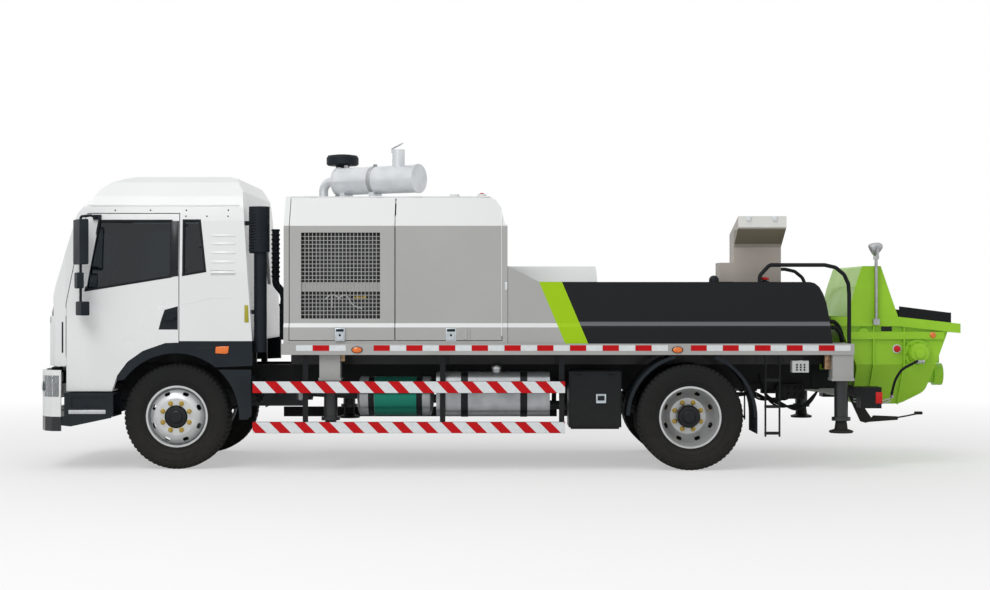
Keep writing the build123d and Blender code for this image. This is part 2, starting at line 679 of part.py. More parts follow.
def make_side_guards():
    """Two guard rails a side on posts that hang from the deck."""
    guards = []
    for side in (-1, 1):
        outer = deck_half_width - 4
        pieces = []
        for z0, z1 in guard_rails:
            pieces.append(block(guard_front_x, guard_rear_x, side * outer, side * (outer - 28), z0, z1))
        for x in (1232.0, 2548.0, 3690.0):
            post_top = rail_top_z + subframe_height - seat_gap
            post = block(x, x + 52, side * (outer - 28), side * (outer - 36), guard_rails[1][0], 860)
            post += block(x, x + 52, side * (outer - 28), side * (outer - 60), 852, 860)
            post += block(x, x + 52, side * (outer - 36), side * (outer - 60), 852, post_top)
            pieces.append(post)
        guards.append(joined(pieces))
    save("guards", *guards, *underrun())


def arc_sheet(x, z, radius, thick, start_deg, end_deg, y0, y1):
    """A rolled sheet: part of a ring about a wheel, seen from the side."""
    mid = (start_deg + end_deg) / 2

    def at(r, deg):
        a = math.radians(deg)
        return (x + r * math.cos(a), y0, z + r * math.sin(a))

    edges = [
        ThreePointArc(at(radius, start_deg), at(radius, mid), at(radius, end_deg)),
        Line(at(radius, end_deg), at(radius + thick, end_deg)),
        ThreePointArc(at(radius + thick, end_deg), at(radius + thick, mid), at(radius + thick, start_deg)),
        Line(at(radius + thick, start_deg), at(radius, start_deg)),
    ]
    return extrude(make_face(edges), y1 - y0, dir=(0, 1, 0))


def make_fenders():
    """Rear quarter fenders with flaps, guards behind the front wheels, and cab steps, all on the frame."""
    sheets = []
    deck_under = rail_top_z + subframe_height + deck_rail_height - deck_plate - seat_gap
    for side in (-1, 1):
        y0, y1 = sorted((side * 690, side * 1232))
        lip0, lip1 = sorted((side * 1232, side * 1190))
        front = joined([
            arc_sheet(wheelbase, axle_z, 606, 8, 104, 178, y0, y1),
            arc_sheet(wheelbase, axle_z, 582, 32, 104, 178, lip0, lip1),
            block(wheelbase - 160, wheelbase - 120, y0 + 150, y1 - 150, 1090, deck_under),
        ])
        rear = joined([
            arc_sheet(wheelbase, axle_z, 634, 8, 0, 68, y0, y1),
            arc_sheet(wheelbase, axle_z, 612, 30, 0, 68, lip0, lip1),
            block(wheelbase + 634, wheelbase + 642, y0, y1, 353, axle_z + 2),
            block(wheelbase + 240, wheelbase + 280, y0 + 150, y1 - 150, 1086, deck_under),
        ])
        sheets += [front, rear]
        y0, y1 = sorted((side * 760, side * 1150))
        skin0, skin1 = sorted((side * 1120, side * 1160))
        rear_edge = arch_trim_rear_x - 8
        panel = side_prism([(300, 964), (rear_edge, 964), (rear_edge, 520), (690, 484), (300, 484)], skin0, skin1)
        panel -= rod_y(0, skin0 - 10, skin1 + 10, axle_z, arch_radius)
        guard = joined([
            panel,
            arc_sheet(0, axle_z, arch_radius, 8, -2, 47.5, y0, y1),
            block(rear_edge - 60, rear_edge - 20, side * (rail_half_width + seat_gap), side * 1130, 850, 890),
        ])
        sheets += [guard, *cab_step(side)]
    save("fenders", *sheets)


def cab_step(side):
    """Two treads inside a folded outer panel, hung on the rail by a bracket."""
    outer, inner = side * 1190, side * 800
    skin = block(step_front_x, step_rear_x, outer, outer - side * 16, step_bottom_z, step_top_z)
    lower = block(step_front_x, step_rear_x, outer, inner, step_bottom_z, step_bottom_z + 16)
    upper = block(step_front_x, step_rear_x, outer - side * 60, inner, step_top_z - 24, step_top_z - 8)
    back = block(step_front_x, step_rear_x, inner, inner + side * 12, step_bottom_z, step_top_z - 8)
    nose = side_prism([(step_front_x - 26, 430), (step_front_x + 60, 420), (step_rear_x - 30, 500),
                       (step_rear_x - 30, step_bottom_z + 4), (step_front_x - 26, step_bottom_z + 4)],
                      *sorted((outer, side * 1120)))
    bracket = block(-900, -840, side * (rail_half_width + seat_gap), side * 800 - side * seat_gap, 690, 820)
    pocket = block(step_front_x + 70, step_rear_x - 60, outer, outer - side * 9, step_bottom_z + 90, step_top_z - 40)
    return [joined([skin - pocket, lower, upper, back, nose]), bracket]


def hood_section(inset):
    """Front view outline of the housing: upright sides, a shoulder that leans in, a flat roof."""
    half = hood_half_width - inset
    top = hood_top_z - inset
    roof_half = hood_half_width - hood_shoulder_inset - inset * 0.45
    upper = half - skirt_step
    right = [(half, hood_base_z), (half, skirt_low_z), (upper, skirt_high_z), (upper, hood_shoulder_z), (roof_half, top)]
    return right + [(-w, h) for w, h in reversed(right)]


def hood_rear_corner():
    """What the rounded rear edge of the roof takes off the housing."""
    return side_prism([(hood_rear_x - 180, hood_top_z + 4), (hood_rear_x + 5, hood_top_z + 4),
                       (hood_rear_x + 5, hood_top_z - 280), (hood_rear_x - 24, hood_top_z - 276),
                       (hood_rear_x - 60, hood_top_z - 110), (hood_rear_x - 110, hood_top_z - 40)],
                      -hood_half_width - 5, hood_half_width + 5)


def hood_knuckles(radius, for_door, slack):
    """Hinge barrels along one roof edge, those of the doors or those of the roof between them."""
    y, z = hood_half_width - hood_shoulder_inset + hood_gap / 4, hood_top_z - 4
    barrels = []
    for x0, x1 in hood_door_spans():
        for x in (x0 + 120, x1 - 240):
            start = x if for_door else x + 60 + seat_gap
            stop = x + 60 if for_door else x + 120
            barrels.append(rod_x(start - slack, stop + slack, y, z, radius))
    return barrels


def hood_door_spans():
    """Front and rear ends of the two doors on one side."""
    half_gap = hood_gap / 2
    return [(hood_front_x + hood_end_wall + half_gap, hood_split_x - half_gap),
            (hood_split_x + half_gap, hood_rear_x - hood_end_wall - half_gap)]


def make_hood_frame():
    """End walls, roof, sill ring and middle posts that the four doors close on."""
    roof_half = hood_half_width - hood_shoulder_inset
    front = front_prism(hood_section(0), hood_front_x, hood_front_x + hood_end_wall)
    rear = front_prism(hood_section(0), hood_rear_x - hood_end_wall, hood_rear_x)
    roof = block(hood_front_x, hood_rear_x, -roof_half, roof_half, hood_top_z - hood_sheet, hood_top_z)
    outer_sill = block(hood_front_x, hood_rear_x, -hood_half_width, hood_half_width, hood_base_z, hood_sill_z)
    sill_hole = block(hood_front_x + hood_end_wall, hood_rear_x - hood_end_wall, -hood_half_width + 110,
                      hood_half_width - 110, hood_base_z - 5, hood_sill_z + 5)
    inner = hood_sheet + seat_gap
    post = front_prism(hood_section(inner), hood_split_x - 26, hood_split_x + 26)
    post += block(hood_split_x - 26, hood_split_x + 26, -roof_half + 40, roof_half - 40, hood_top_z - 60, hood_top_z - 10)
    post -= block(hood_split_x - 30, hood_split_x + 30, -hood_half_width + 110, hood_half_width - 110,
                  hood_base_z - 5, hood_top_z - 70)
    caps = [rod_z(x, -760, hood_top_z - 5, hood_top_z + 34, 46) for x in (2677, 2946)]
    body = joined([front, rear, roof, outer_sill - sill_hole, post, *caps]) - hood_rear_corner()
    for barrel in hood_knuckles(hinge_radius + 1, True, seat_gap):
        body = body - barrel - mirror(barrel, about=Plane.XZ)
    roof_barrels = hood_knuckles(hinge_radius, False, 0)
    body = joined([body, *roof_barrels, *[mirror(barrel, about=Plane.XZ) for barrel in roof_barrels]])
    save("hood_frame", body)


def hood_door(x0, x1):
    """One side door of the housing, bent at the shoulder and hinged along the roof edge."""
    outer = front_prism(hood_section(0), x0, x1)
    inner = front_prism(hood_section(hood_sheet), x0 - 5, x1 + 5)
    roof_half = hood_half_width - hood_shoulder_inset
    keep = block(x0, x1, roof_half + hood_gap / 2, hood_half_width + 5, hood_sill_z + hood_gap / 2, hood_top_z + 5)
    trim = front_prism([(roof_half - 40, hood_top_z + 5), (roof_half + hood_gap / 2, hood_top_z + 5),
                        (roof_half + hood_gap / 2, hood_top_z - 60), (roof_half - 40, hood_top_z - 60)], x0, x1)
    panel = (outer - inner) & keep - trim
    for barrel in hood_knuckles(hinge_radius + 1, False, seat_gap):
        panel -= barrel
    own = [barrel for barrel in hood_knuckles(hinge_radius, True, 0) if x0 < barrel.center().X < x1]
    return joined([panel, *own])


def hood_latch(x):
    """A pair of recessed toggle latches under one escutcheon."""
    plate = block(x - 46, x + 46, hood_half_width, hood_half_width + 8, 1250, 1368)
    lever = block(x - 20, x + 20, hood_half_width + 6, hood_half_width + 18, 1262, 1356)
    return plate + lever


def make_hood_doors():
    """Four lift-up doors; the front pair carries the woven grille over the radiator."""
    front_span, rear_span = hood_door_spans()
    panel = hood_door(*front_span)
    face_y = hood_half_width - skirt_step
    panel -= block(grille_front_x, grille_rear_x, face_y - 60, face_y + 10, grille_bottom_z, grille_top_z)
    wires = []
    count_x = int((grille_rear_x - grille_front_x) / grille_pitch)
    step_x = (grille_rear_x - grille_front_x) / count_x
    for k in range(1, count_x):
        x = grille_front_x + k * step_x
        wires.append(block(x - grille_wire / 2, x + grille_wire / 2, face_y - 18, face_y - 18 + grille_wire,
                           grille_bottom_z - 4, grille_top_z + 4))
    count_z = int((grille_top_z - grille_bottom_z) / grille_pitch)
    step_z = (grille_top_z - grille_bottom_z) / count_z
    for k in range(1, count_z):
        z = grille_bottom_z + k * step_z
        wires.append(block(grille_front_x - 4, grille_rear_x + 4, face_y - 18 - grille_wire - seat_gap,
                           face_y - 18 - seat_gap, z - grille_wire / 2, z + grille_wire / 2))
    beam = block(grille_front_x - 4, grille_rear_x + 4, face_y - 30, face_y - 18 - grille_wire - 1, 1722, 1806)
    front = joined([panel, *wires, beam, hood_latch(1591)])
    rear = joined([hood_door(*rear_span) - hood_rear_corner(), hood_latch(2790)])
    for side_name, side in wheel_positions():
        save(f"hood_door_front_{side_name}", placed(front, side, 0, 0, 0))
        save(f"hood_door_rear_{side_name}", placed(rear, side, 0, 0, 0))


def make_power_pack():
    """The pump's own engine as one plain block, its radiator and skid feet on the deck."""
    deck_top = hood_base_z
    engine = block(1760, 2960, -380, 380, 1330, 2180)
    feet = [block(x, x + 90, s * 300, s * 420, deck_top, 1335) for x in (1800, 2820) for s in (-1, 1)]
    sump = block(1900, 2800, -240, 240, 1270, 1332)
    core = block(1200, 1330, -760, 760, 1330, 2260)
    tank = [block(1190, 1340, -790, 790, z, z + 60) for z in (1290, 2240)]
    legs = [block(1210, 1320, s * 700, s * 780, deck_top, 1295) for s in (-1, 1)]
    cowl = rod_x(1325, 1420, 0, 1790, 430)
    fan_shaft = rod_x(1415, 1500, 0, 1790, 40)
    coolers = []
    for side in (-1, 1):
        inner, outer = side * 1040, side * 1110
        cooler = [block(1225, 1965, inner, outer, 1330, 2270)]
        cooler += [block(1215, 1975, side * 1034, side * 1112, z, z + 44) for z in (1290, 2266)]
        cooler += [block(x, x + 70, inner, side * 1108, deck_top, 1295) for x in (1235, 1885)]
        coolers.append(joined(cooler))
    save("power_pack", joined([engine, sump, *feet]), joined([core, *tank, *legs, cowl, fan_shaft]), *coolers)


def make_muffler():
    """Exhaust silencer set askew on the roof, with its elbow and upright tail pipe."""
    roof = hood_top_z
    turn = muffler_turn_deg
    drum = Cylinder(muffler_radius, muffler_length)
    ends = [Pos(0, 0, s * (muffler_length / 2 - 1)) * Cylinder(muffler_radius + 7, 16) for s in (-1, 1)]
    body = Rot(0, 90, 0) * joined([drum, *ends])
    along_x, along_y = math.cos(math.radians(turn)), -math.sin(math.radians(turn))
    placed_body = Pos(muffler_x, muffler_y, muffler_z) * Rot(0, 0, -turn) * body
    half = muffler_length / 2
    nose = (muffler_x - along_x * half, muffler_y - along_y * half)
    far = (nose[0] - along_x * 190, nose[1] - along_y * 190)
    elbow = tube_path([(nose[0] + along_x * 10, nose[1] + along_y * 10, muffler_z), (far[0], far[1], muffler_z),
                       (far[0], far[1], roof + seat_gap)], 46, 92)
    tail_x, tail_y = muffler_x + tail_shift * along_x, muffler_y + tail_shift * along_y
    tail = rod_z(tail_x, tail_y, muffler_z + 100, muffler_tail_z, tail_radius)
    tail -= rod_z(tail_x, tail_y, muffler_tail_z - 120, muffler_tail_z + 5, tail_radius - 5)
    flap = Pos(tail_x - tail_radius, tail_y, muffler_tail_z) * Rot(0, -28, 0) * (
        Pos(tail_radius, 0, 8) * Cylinder(tail_radius + 4, 5))
    lug = block(tail_x - tail_radius - 14, tail_x - tail_radius + 8, tail_y - 14, tail_y + 14, muffler_tail_z - 30,
                muffler_tail_z + 12)
    saddles = []
    for shift in (-390, -36):
        x, y = muffler_x + along_x * shift, muffler_y + along_y * shift
        foot = Pos(x, y, (roof + seat_gap + muffler_z) / 2) * Rot(0, 0, -turn) * Box(
            60, 150, muffler_z - roof - seat_gap)
        plate = Pos(x, y, roof + seat_gap + 6) * Rot(0, 0, -turn) * Box(110, 250, 12)
        saddles += [foot, plate]
    save("muffler", joined([placed_body, elbow, tail, flap, lug, *saddles]))
    cap_points = [
        (0, roof + seat_gap), (88, roof + seat_gap), (88, 2700), (70, 2716), (70, 3020), (150, 3020), (165, 3034),
        (165, 3098), (150, 3122), (70, 3133), (0, 3133),
    ]
    cap = revolve(make_face(Polyline([(r, 0, z) for r, z in cap_points], close=True)), Axis.Z)
    save("intake_cap", Pos(intake_cap_x, intake_cap_y, 0) * cap)


def make_covers():
    """Sheet covers along both sides of the pump bay, with a crowned cover over its front."""
    outline = [
        (hood_rear_x + 4, hood_base_z), (hood_rear_x + 4, cover_peak_z), (cover_slope_end_x, cover_top_z),
        (cover_rear_top_x - 10, cover_top_z), (cover_rear_top_x + 34, cover_top_z - 10),
        (cover_rear_top_x + 80, cover_top_z - 46), (cover_rear_top_x + 118, cover_top_z - 112),
        (cover_rear_top_x + 150, cover_top_z - 205),
        (cover_rear_x - 27, cover_top_z - 362), (cover_rear_x, hood_base_z + 6), (cover_rear_x, hood_base_z),
    ]
    sheet = cover_sheet
    inner_outline = [
        (hood_rear_x + 4 + sheet, hood_base_z - 5), (hood_rear_x + 4 + sheet, cover_peak_z - sheet - 8),
        (cover_slope_end_x - 6, cover_top_z - sheet), (cover_rear_top_x - 10, cover_top_z - sheet),
        (cover_rear_top_x + 52, cover_top_z - 68), (cover_rear_top_x + 88, cover_top_z - 122),
        (cover_rear_top_x + 118, cover_top_z - 210), (cover_rear_x - 57, cover_top_z - 366),
        (cover_rear_x - sheet, hood_base_z), (cover_rear_x - sheet, hood_base_z - 5),
    ]
    outer_y, inner_y = hood_half_width, cover_inner_y
    shell = side_prism(outline, inner_y, outer_y)
    shell -= side_prism(inner_outline, inner_y + sheet, outer_y - sheet)
    pit = block(cabinet_front_x - 12, cabinet_rear_x + 12, inner_y - 5, cabinet_outer_y + 12, hood_base_z - 5,
                cover_top_z + 5)
    upper = outer_y - skirt_step
    shell -= front_prism([(outer_y, skirt_low_z), (upper, skirt_high_z), (upper, cover_peak_z + 20),
                          (outer_y + 5, cover_peak_z + 20), (outer_y + 5, skirt_low_z)], hood_rear_x, cover_rear_x + 5)
    left = mirror(shell - pit, about=Plane.XZ)
    rise = ThreePointArc((-cover_inner_y + seat_gap, crown_side_z), (0, crown_top_z), (cover_inner_y - seat_gap, crown_side_z))
    lower = ThreePointArc((-cover_inner_y + seat_gap, crown_side_z - sheet), (0, crown_top_z - sheet),
                          (cover_inner_y - seat_gap, crown_side_z - sheet))
    ends = [Line(rise @ 0, lower @ 0), Line(rise @ 1, lower @ 1)]
    crown = along(make_face([rise, lower, *ends]), hood_rear_x + 4, crown_rear_x)
    wall = block(crown_rear_x - sheet, crown_rear_x, -cover_inner_y + seat_gap, cover_inner_y - seat_gap, 1560, crown_side_z - 5)
    save("bay_covers", left, shell, joined([crown, wall]))


def make_cabinet():
    """Control cabinet that rises out of the left cover, with a lid over its slanted panel."""
    inner, outer = -cabinet_inner_y, -cabinet_outer_y
    deck_top = hood_base_z
    body = block(cabinet_front_x, cabinet_rear_x, inner, outer, deck_top + seat_gap, 2164)
    head_points = [(inner, 2150), (outer, 2150), (-1240, 2330), (-1245, 2335), (-1245, 2420), (inner, 2255)]
    head = front_prism(head_points, cabinet_front_x, cabinet_rear_x)
    side_box = block(cabinet_front_x - 139, cabinet_front_x + 2, inner, outer, cover_top_z + 6, 2000)
    lift = cabinet_lid_gap
    lid_points = [(-1245, 2420 + lift), (inner, 2255 + lift), (inner, 2285 + lift), (-1245, 2439 + lift)]
    lid = front_prism(lid_points, cabinet_front_x, cabinet_rear_x)
    for x in (cabinet_front_x + 50, cabinet_rear_x - 170):
        knuckle = rod_x(x, x + 60, cabinet_hinge_y, cabinet_hinge_z, cabinet_pin_radius)
        leaf = block(x, x + 60, inner - 2, inner + 8, 2190, 2254)
        leaf += block(x, x + 60, inner + lift, inner + 8, 2250, cabinet_hinge_z)
        body = joined([body, leaf + knuckle])
        lid -= rod_x(x - lift, x + 60 + lift, cabinet_hinge_y, cabinet_hinge_z, cabinet_pin_radius + 1)
        lid += rod_x(x + 60 + lift, x + 120, cabinet_hinge_y, cabinet_hinge_z, cabinet_pin_radius)
    save("control_cabinet", joined([body, head, side_box]))
    save("cabinet_lid", lid)


def hopper_outline(inset):
    """Side view outline of the bowl: upright front wall, rounded trough, rear wall that leans out."""
    front, rear, bottom = port_wall_x + inset, 7432 - inset, hopper_bottom_z + inset
    points = [
        (6480 + inset, hopper_mouth_z), (6500 + inset, 1330), (front - 10, 1000), (front, 960), (front, bottom),
        (7130, bottom), (7359 - inset, 724 + inset / 2), (rear, 1016), (7550 - inset, 1344),
        (7570 - inset, hopper_mouth_z),
    ]
    radii = [0, 0, 0, 0, 40 - inset, 180, 120, 0, 0, 0]
    return rounded_outline(points, radii)


def hopper_front_view(inset):
    """Front view outline of the bowl, narrower at its foot."""
    half, foot = hopper_half_width - inset, hopper_foot_half_width - inset
    return [(-half, hopper_mouth_z + 1), (-half, 1000), (-foot, hopper_bottom_z - 5), (foot, hopper_bottom_z - 5),
            (half, 1000), (half, hopper_mouth_z + 1)]


def make_hopper():
    """Plate hopper: bowl, rolled rim, frame brackets, ribs, bearing housings and outlet bend flange."""
    plate = hopper_plate
    outer = across(hopper_outline(0), hopper_half_width) & front_prism(hopper_front_view(0), 6400, 7700)
    inner = across(hopper_outline(plate), hopper_half_width) & front_prism(hopper_front_view(plate), 6400, 7700)
    rim_points = [
        (hopper_rim_front_x, hopper_rim_z), (hopper_rim_bend_x, hopper_rim_z), (rim_rear_x, rim_rear_z),
        (rim_rear_x, rim_rear_z - rim_depth), (hopper_rim_bend_x, hopper_rim_z - rim_depth),
        (hopper_rim_front_x, hopper_rim_z - rim_depth),
    ]
    half = hopper_rim_half_width
    rim = side_prism(rim_points, -half, half)
    mouth = block(hopper_rim_front_x + 96, 7570, -half + 52, half - 52, hopper_mouth_z - 20, hopper_rim_z + 5)
    mouth += block(hopper_rim_front_x + 18, rim_rear_x - 18, -half + 12, half - 12, hopper_mouth_z, hopper_rim_z + 5)
    brackets = []
    for side in (-1, 1):
        for lift in (0, 130):
            brackets.append(block(rail_rear_x + 120 + seat_gap, 6700, side * 350, side * 362, 1010 - lift,
                                  1190 - lift))
        brackets.append(block(rail_rear_x + 120 + seat_gap, rail_rear_x + 134, side * 350, side * 420,
                              860, 1200))
        for x in (6800, 7100):
            rib = front_prism([(side * 425, 600), (side * 724, 1005), (side * 724, 1380), (side * 752, 1380),
                               (side * 752, 990), (side * 455, 590)], x, x + 14)
            brackets.append(rib)
        brackets.append(block(6560, 7500, side * 715, side * 752, 1250, 1323))
        bearing = rod_y(agitator_x, side * (hopper_half_width - 5), side * (hopper_half_width + 110), agitator_z, 100)
        bearing += rod_y(agitator_x, side * (hopper_half_width - 5), side * (hopper_half_width + 24), agitator_z, 135)
        brackets.append(bearing)
    hanger_plates = [block(7440, 7560, s * 300 - 8, s * 300 + 8, 1000, 1330) for s in (-1, 1)]
    outlet = rod_x(outlet_seal_x, outlet_end_x, 0, swing_z, outlet_radius)
    flange = rod_x(7450 + seat_gap, 7480, 0, swing_z, outlet_collar_radius + 20)
    collar = rod_x(outlet_end_x - outlet_collar_length, outlet_end_x, 0, swing_z, outlet_collar_radius)
    body = joined([outer, rim, *brackets, *hanger_plates]) - inner - mouth
    body -= rod_x(7300, 7600, 0, swing_z, outlet_radius + seat_gap)
    seat = block(7422, 7450, -150, 150, swing_z - 150, swing_z + 150)
    seat -= rod_x(7400, 7500, 0, swing_z, outlet_radius + seat_gap)
    body = joined([body, seat])
    outlet = joined([outlet, flange, collar]) - rod_x(7300, outlet_end_x + 5, 0, swing_z, outlet_radius - 14)
    save("outlet", outlet)
    for side in (-1, 1):
        body -= rod_x(port_wall_x - 20, port_wall_x + 30, side * port_half_pitch, port_z, s_tube_radius - s_tube_wall)
    body -= rod_x(port_wall_x - 60, port_wall_x + 60, 0, swing_z, swing_shaft_radius + running_gap)
    shaft_bore = agitator_shaft_radius + running_gap
    body -= rod_y(agitator_x, -hopper_half_width - 60, hopper_half_width + 60, agitator_z, shaft_bore)
    save("hopper", body)


def make_hopper_guards():
    """Splash guard over the front half of the mouth, and rubber lips round the rear half."""
    outline = [(6547, hopper_rim_z), (6622, 1765), (6686, 1957), (6700, 1970), (6875, 1970), (7042, 1482),
               (7042, hopper_rim_z)]
    half = hopper_rim_half_width - 4
    sheet = 12.0
    lift = seat_gap
    body = side_prism([(x, z + lift) for x, z in outline], -half, half)
    hollow = [(6547 + sheet + 2, hopper_rim_z - 5), (6622 + sheet, 1762), (6686 + sheet, 1950),
              (6700 + sheet, 1958), (7060, 1958), (7060, hopper_rim_z - 5)]
    body -= side_prism(hollow, -half + sheet, half - sheet)
    save("splash_guard", body)
    lips = []
    lip_points = [(7056, 1462), (7056, 1574), (7562, 1510), (7562, 1410)]
    for side in (-1, 1):
        y0, y1 = sorted((side * half, side * (half - 10)))
        wall = side_prism(lip_points, y0, y1)
        lips.append(wall)
    cross = front_prism([(-half, 1412), (half, 1412), (half, 1512), (-half, 1512)], 7556, 7568)
    joined_lips = joined([*lips, cross])
    rim_cut = side_prism([(hopper_rim_bend_x - 100, hopper_rim_z + lift), (hopper_rim_bend_x, hopper_rim_z + lift),
                          (rim_rear_x, rim_rear_z + lift), (rim_rear_x, 1300), (hopper_rim_bend_x - 100, 1300)],
                         -800, 800)
    save("rubber_lips", joined_lips - rim_cut)


def make_grate():
    """Lift-up grate of flat bars inside the hopper mouth, hinged along its front edge."""
    x0, x1, half = grate_front_x, grate_rear_x, grate_half_width
    z0, z1 = grate_z, grate_z + 30
    ring = block(x0, x1, -half, half, z0, z1) - block(x0 + 12, x1 - 12, -half + 12, half - 12, z0 - 5, z1 + 5)
    bars = [ring]
    count = 12
    for k in range(1, count):
        y = -half + k * 2 * half / count
        bars.append(block(x0 + 6, x1 - 6, y - 4, y + 4, z0, z1))
    for k in (1, 2):
        x = x0 + k * (x1 - x0) / 3
        bars.append(block(x - 5, x + 5, -half + 6, half - 6, z0 + 4, z1 - 4))
    pin_end = hopper_half_width - hopper_plate - seat_gap
    hinge = rod_y(x0, -pin_end, pin_end, z0 + 15, 12)
    save("hopper_grate", joined([*bars, hinge]))


def make_agitator():
    """Paddle shaft across the hopper."""
    end = hopper_half_width + 58
    shaft = rod_y(agitator_x, -end, end, agitator_z, agitator_shaft_radius)
    pieces = [shaft]
    for side in (-1, 1):
        for k in range(2):
            angle = 180 * k + (45 if side > 0 else 0)
            for y in (paddle_inner_y + 20, paddle_outer_y - 20):
                arm = block(-14, 14, side * y - 14, side * y + 14, 20, agitator_radius - 20)
                pieces.append(Pos(agitator_x, 0, agitator_z) * Rot(0, angle, 0) * arm)
            blade = block(-8, 8, side * paddle_inner_y, side * paddle_outer_y, agitator_radius - 70, agitator_radius)
            pieces.append(Pos(agitator_x, 0, agitator_z) * Rot(0, angle, 0) * blade)
    save("agitator", joined(pieces))


def make_s_tube():
    """Swinging S-shaped transfer tube, at rest on the left cylinder port, with its shaft and lever."""
    mouth_x, outlet_x = port_wall_x + hopper_plate + 8, outlet_seal_x - 5
    path = FilletPolyline((mouth_x, -port_half_pitch, port_z), (mouth_x + 140, -port_half_pitch, port_z),
                          (outlet_x - 150, 0, swing_z), (outlet_x, 0, swing_z), radius=190)
    start = Plane(origin=path @ 0, z_dir=path % 0)
    outer = sweep(start * Circle(s_tube_radius), path=path)
    inner = sweep(start * Circle(s_tube_radius - s_tube_wall), path=path)
    shaft = rod_x(port_wall_x - 80, mouth_x + 46, 0, swing_z, swing_shaft_radius)
    arm = Pos(mouth_x + 34, -0.5 * port_half_pitch, swing_z - 0.5 * port_drop) * Rot(-45, 0, 0) * Box(28, 76, 150)
    lever = Pos(port_wall_x - 68, 0, swing_z) * Rot(-45, 0, 0) * (Pos(0, 0, 70) * Box(24, 70, 170))
    tube = joined([outer, arm]) - inner
    save("s_tube", joined([tube, shaft, lever]))


def make_pumping_unit():
    """Twin delivery cylinders, water box and drive cylinders, tilted up towards the front."""
    pieces = []
    tilt = math.radians(pump_tilt_deg)

    def at(distance):
        return (port_wall_x - seat_gap - distance * math.cos(tilt), port_z + distance * math.sin(tilt))

    def line_rod(d0, d1, y, radius):
        x0, z0 = at(d0)
        x1, z1 = at(d1)
        centre = Pos((x0 + x1) / 2, y, (z0 + z1) / 2)
        return centre * Rot(0, 90 + pump_tilt_deg, 0) * Cylinder(radius, abs(d1 - d0))

    def line_box(d0, d1, half_y, low, high):
        x0, z0 = at((d0 + d1) / 2)
        return Pos(x0, 0, z0) * Rot(0, pump_tilt_deg, 0) * (
            Pos(0, 0, (low + high) / 2) * Box(abs(d1 - d0), 2 * half_y, high - low))

    box_rear = (port_wall_x - water_box_rear_x) / math.cos(tilt)
    box_front = (port_wall_x - water_box_front_x) / math.cos(tilt)
    drive_end = (port_wall_x - drive_cylinder_front_x) / math.cos(tilt)
    for side in (-1, 1):
        y = side * port_half_pitch
        pieces.append(line_rod(22, box_rear + 5, y, delivery_radius))
        pieces.append(line_rod(box_front - 5, drive_end, y, drive_cylinder_radius))
        pieces.append(line_rod(drive_end - 40, drive_end, y, drive_cylinder_radius + 16))
        pieces.append(line_rod(box_front - 5, box_front + 60, y, drive_cylinder_radius + 22))
        for d in (box_rear - 60, 60):
            pieces.append(line_rod(d, d + 24, y, delivery_radius + 8))
        pieces.append(line_rod(box_front - 30, box_front + 10, y, drive_cylinder_radius + 26))
    pieces.append(line_box(box_rear, box_rear + 30, 270, -150, 190))
    pieces.append(line_box(box_front - 30, box_front, 270, -150, 190))
    pieces.append(line_box(box_rear, box_front, 250, -140, -110))
    for side_y in (-1, 1):
        wall_x, wall_z = at((box_rear + box_front) / 2)
        pieces.append(Pos(wall_x, side_y * 255, wall_z) * Rot(0, pump_tilt_deg, 0) * (
            Pos(0, 0, 20) * Box(box_front - box_rear, 12, 320)))
    lid = line_box(box_rear + 10, box_front - 10, 262, 180, 190)
    pieces.append(lid)
    face = block(port_wall_x - 34 - seat_gap, port_wall_x - seat_gap, -250, 250, port_z - 115, port_z + 60)
    pieces.append(face)
    seat_y = rail_half_width - rail_flange - seat_gap
    for x in (5300, 6050):
        z = port_z + (port_wall_x - x) * math.tan(tilt)
        pieces.append(block(x, x + 20, -seat_y, seat_y, max(z - 60, rail_top_z + 10), z + 70))
    save("pumping_unit", joined(pieces))


def make_work_lamp():
    """Lamp on a pole at the hopper's left rim."""
    y = -(hopper_rim_half_width + 40)
    pole = rod_z(work_lamp_x, y, hopper_rim_z - 80, 2036, 16)
    foot = block(work_lamp_x - 30, work_lamp_x + 30, y - 22, -(hopper_rim_half_width + seat_gap), hopper_rim_z - 76,
                 hopper_rim_z - 20)
    head_points = [(0, -62), (58, -62), (66, -50), (60, -14), (46, 22), (30, 48), (14, 60), (0, 62)]
    dish = revolve(make_face(Polyline([(r, 0, z) for r, z in head_points], close=True)), Axis.Z)
    head = Pos(work_lamp_x + 6, y, 2150) * Rot(0, 62, 0) * dish
    yoke = [block(work_lamp_x - 12, work_lamp_x + 12, y + s * 70 - 4, y + s * 70 + 4, 2060, 2168) for s in (-1, 1)]
    yoke += [block(work_lamp_x - 14, work_lamp_x + 14, y - 74, y + 74, 2034, 2066)]
    yoke += [rod_y(work_lamp_x + 4, y - 74, y + 74, 2150, 9)]
    save("work_lamp", joined([pole, foot, head, *yoke]))


def underrun():
    """Rear lamp brackets and underrun bar behind the rear legs."""
    pieces = []
    inner = rail_half_width + seat_gap
    for side in (-1, 1):
        bar = block(underrun_x, underrun_x + 60, side * inner, side * 1120, 700, 790)
        arm = block(rail_rear_x - 80, underrun_x + 10, side * inner, side * (inner + 14), 750, 940)
        lamp_box = block(underrun_x + 60, underrun_x + 260, side * 900, side * 1120, 590, 794)
        pieces.append(joined([bar, arm, lamp_box]))
    return pieces


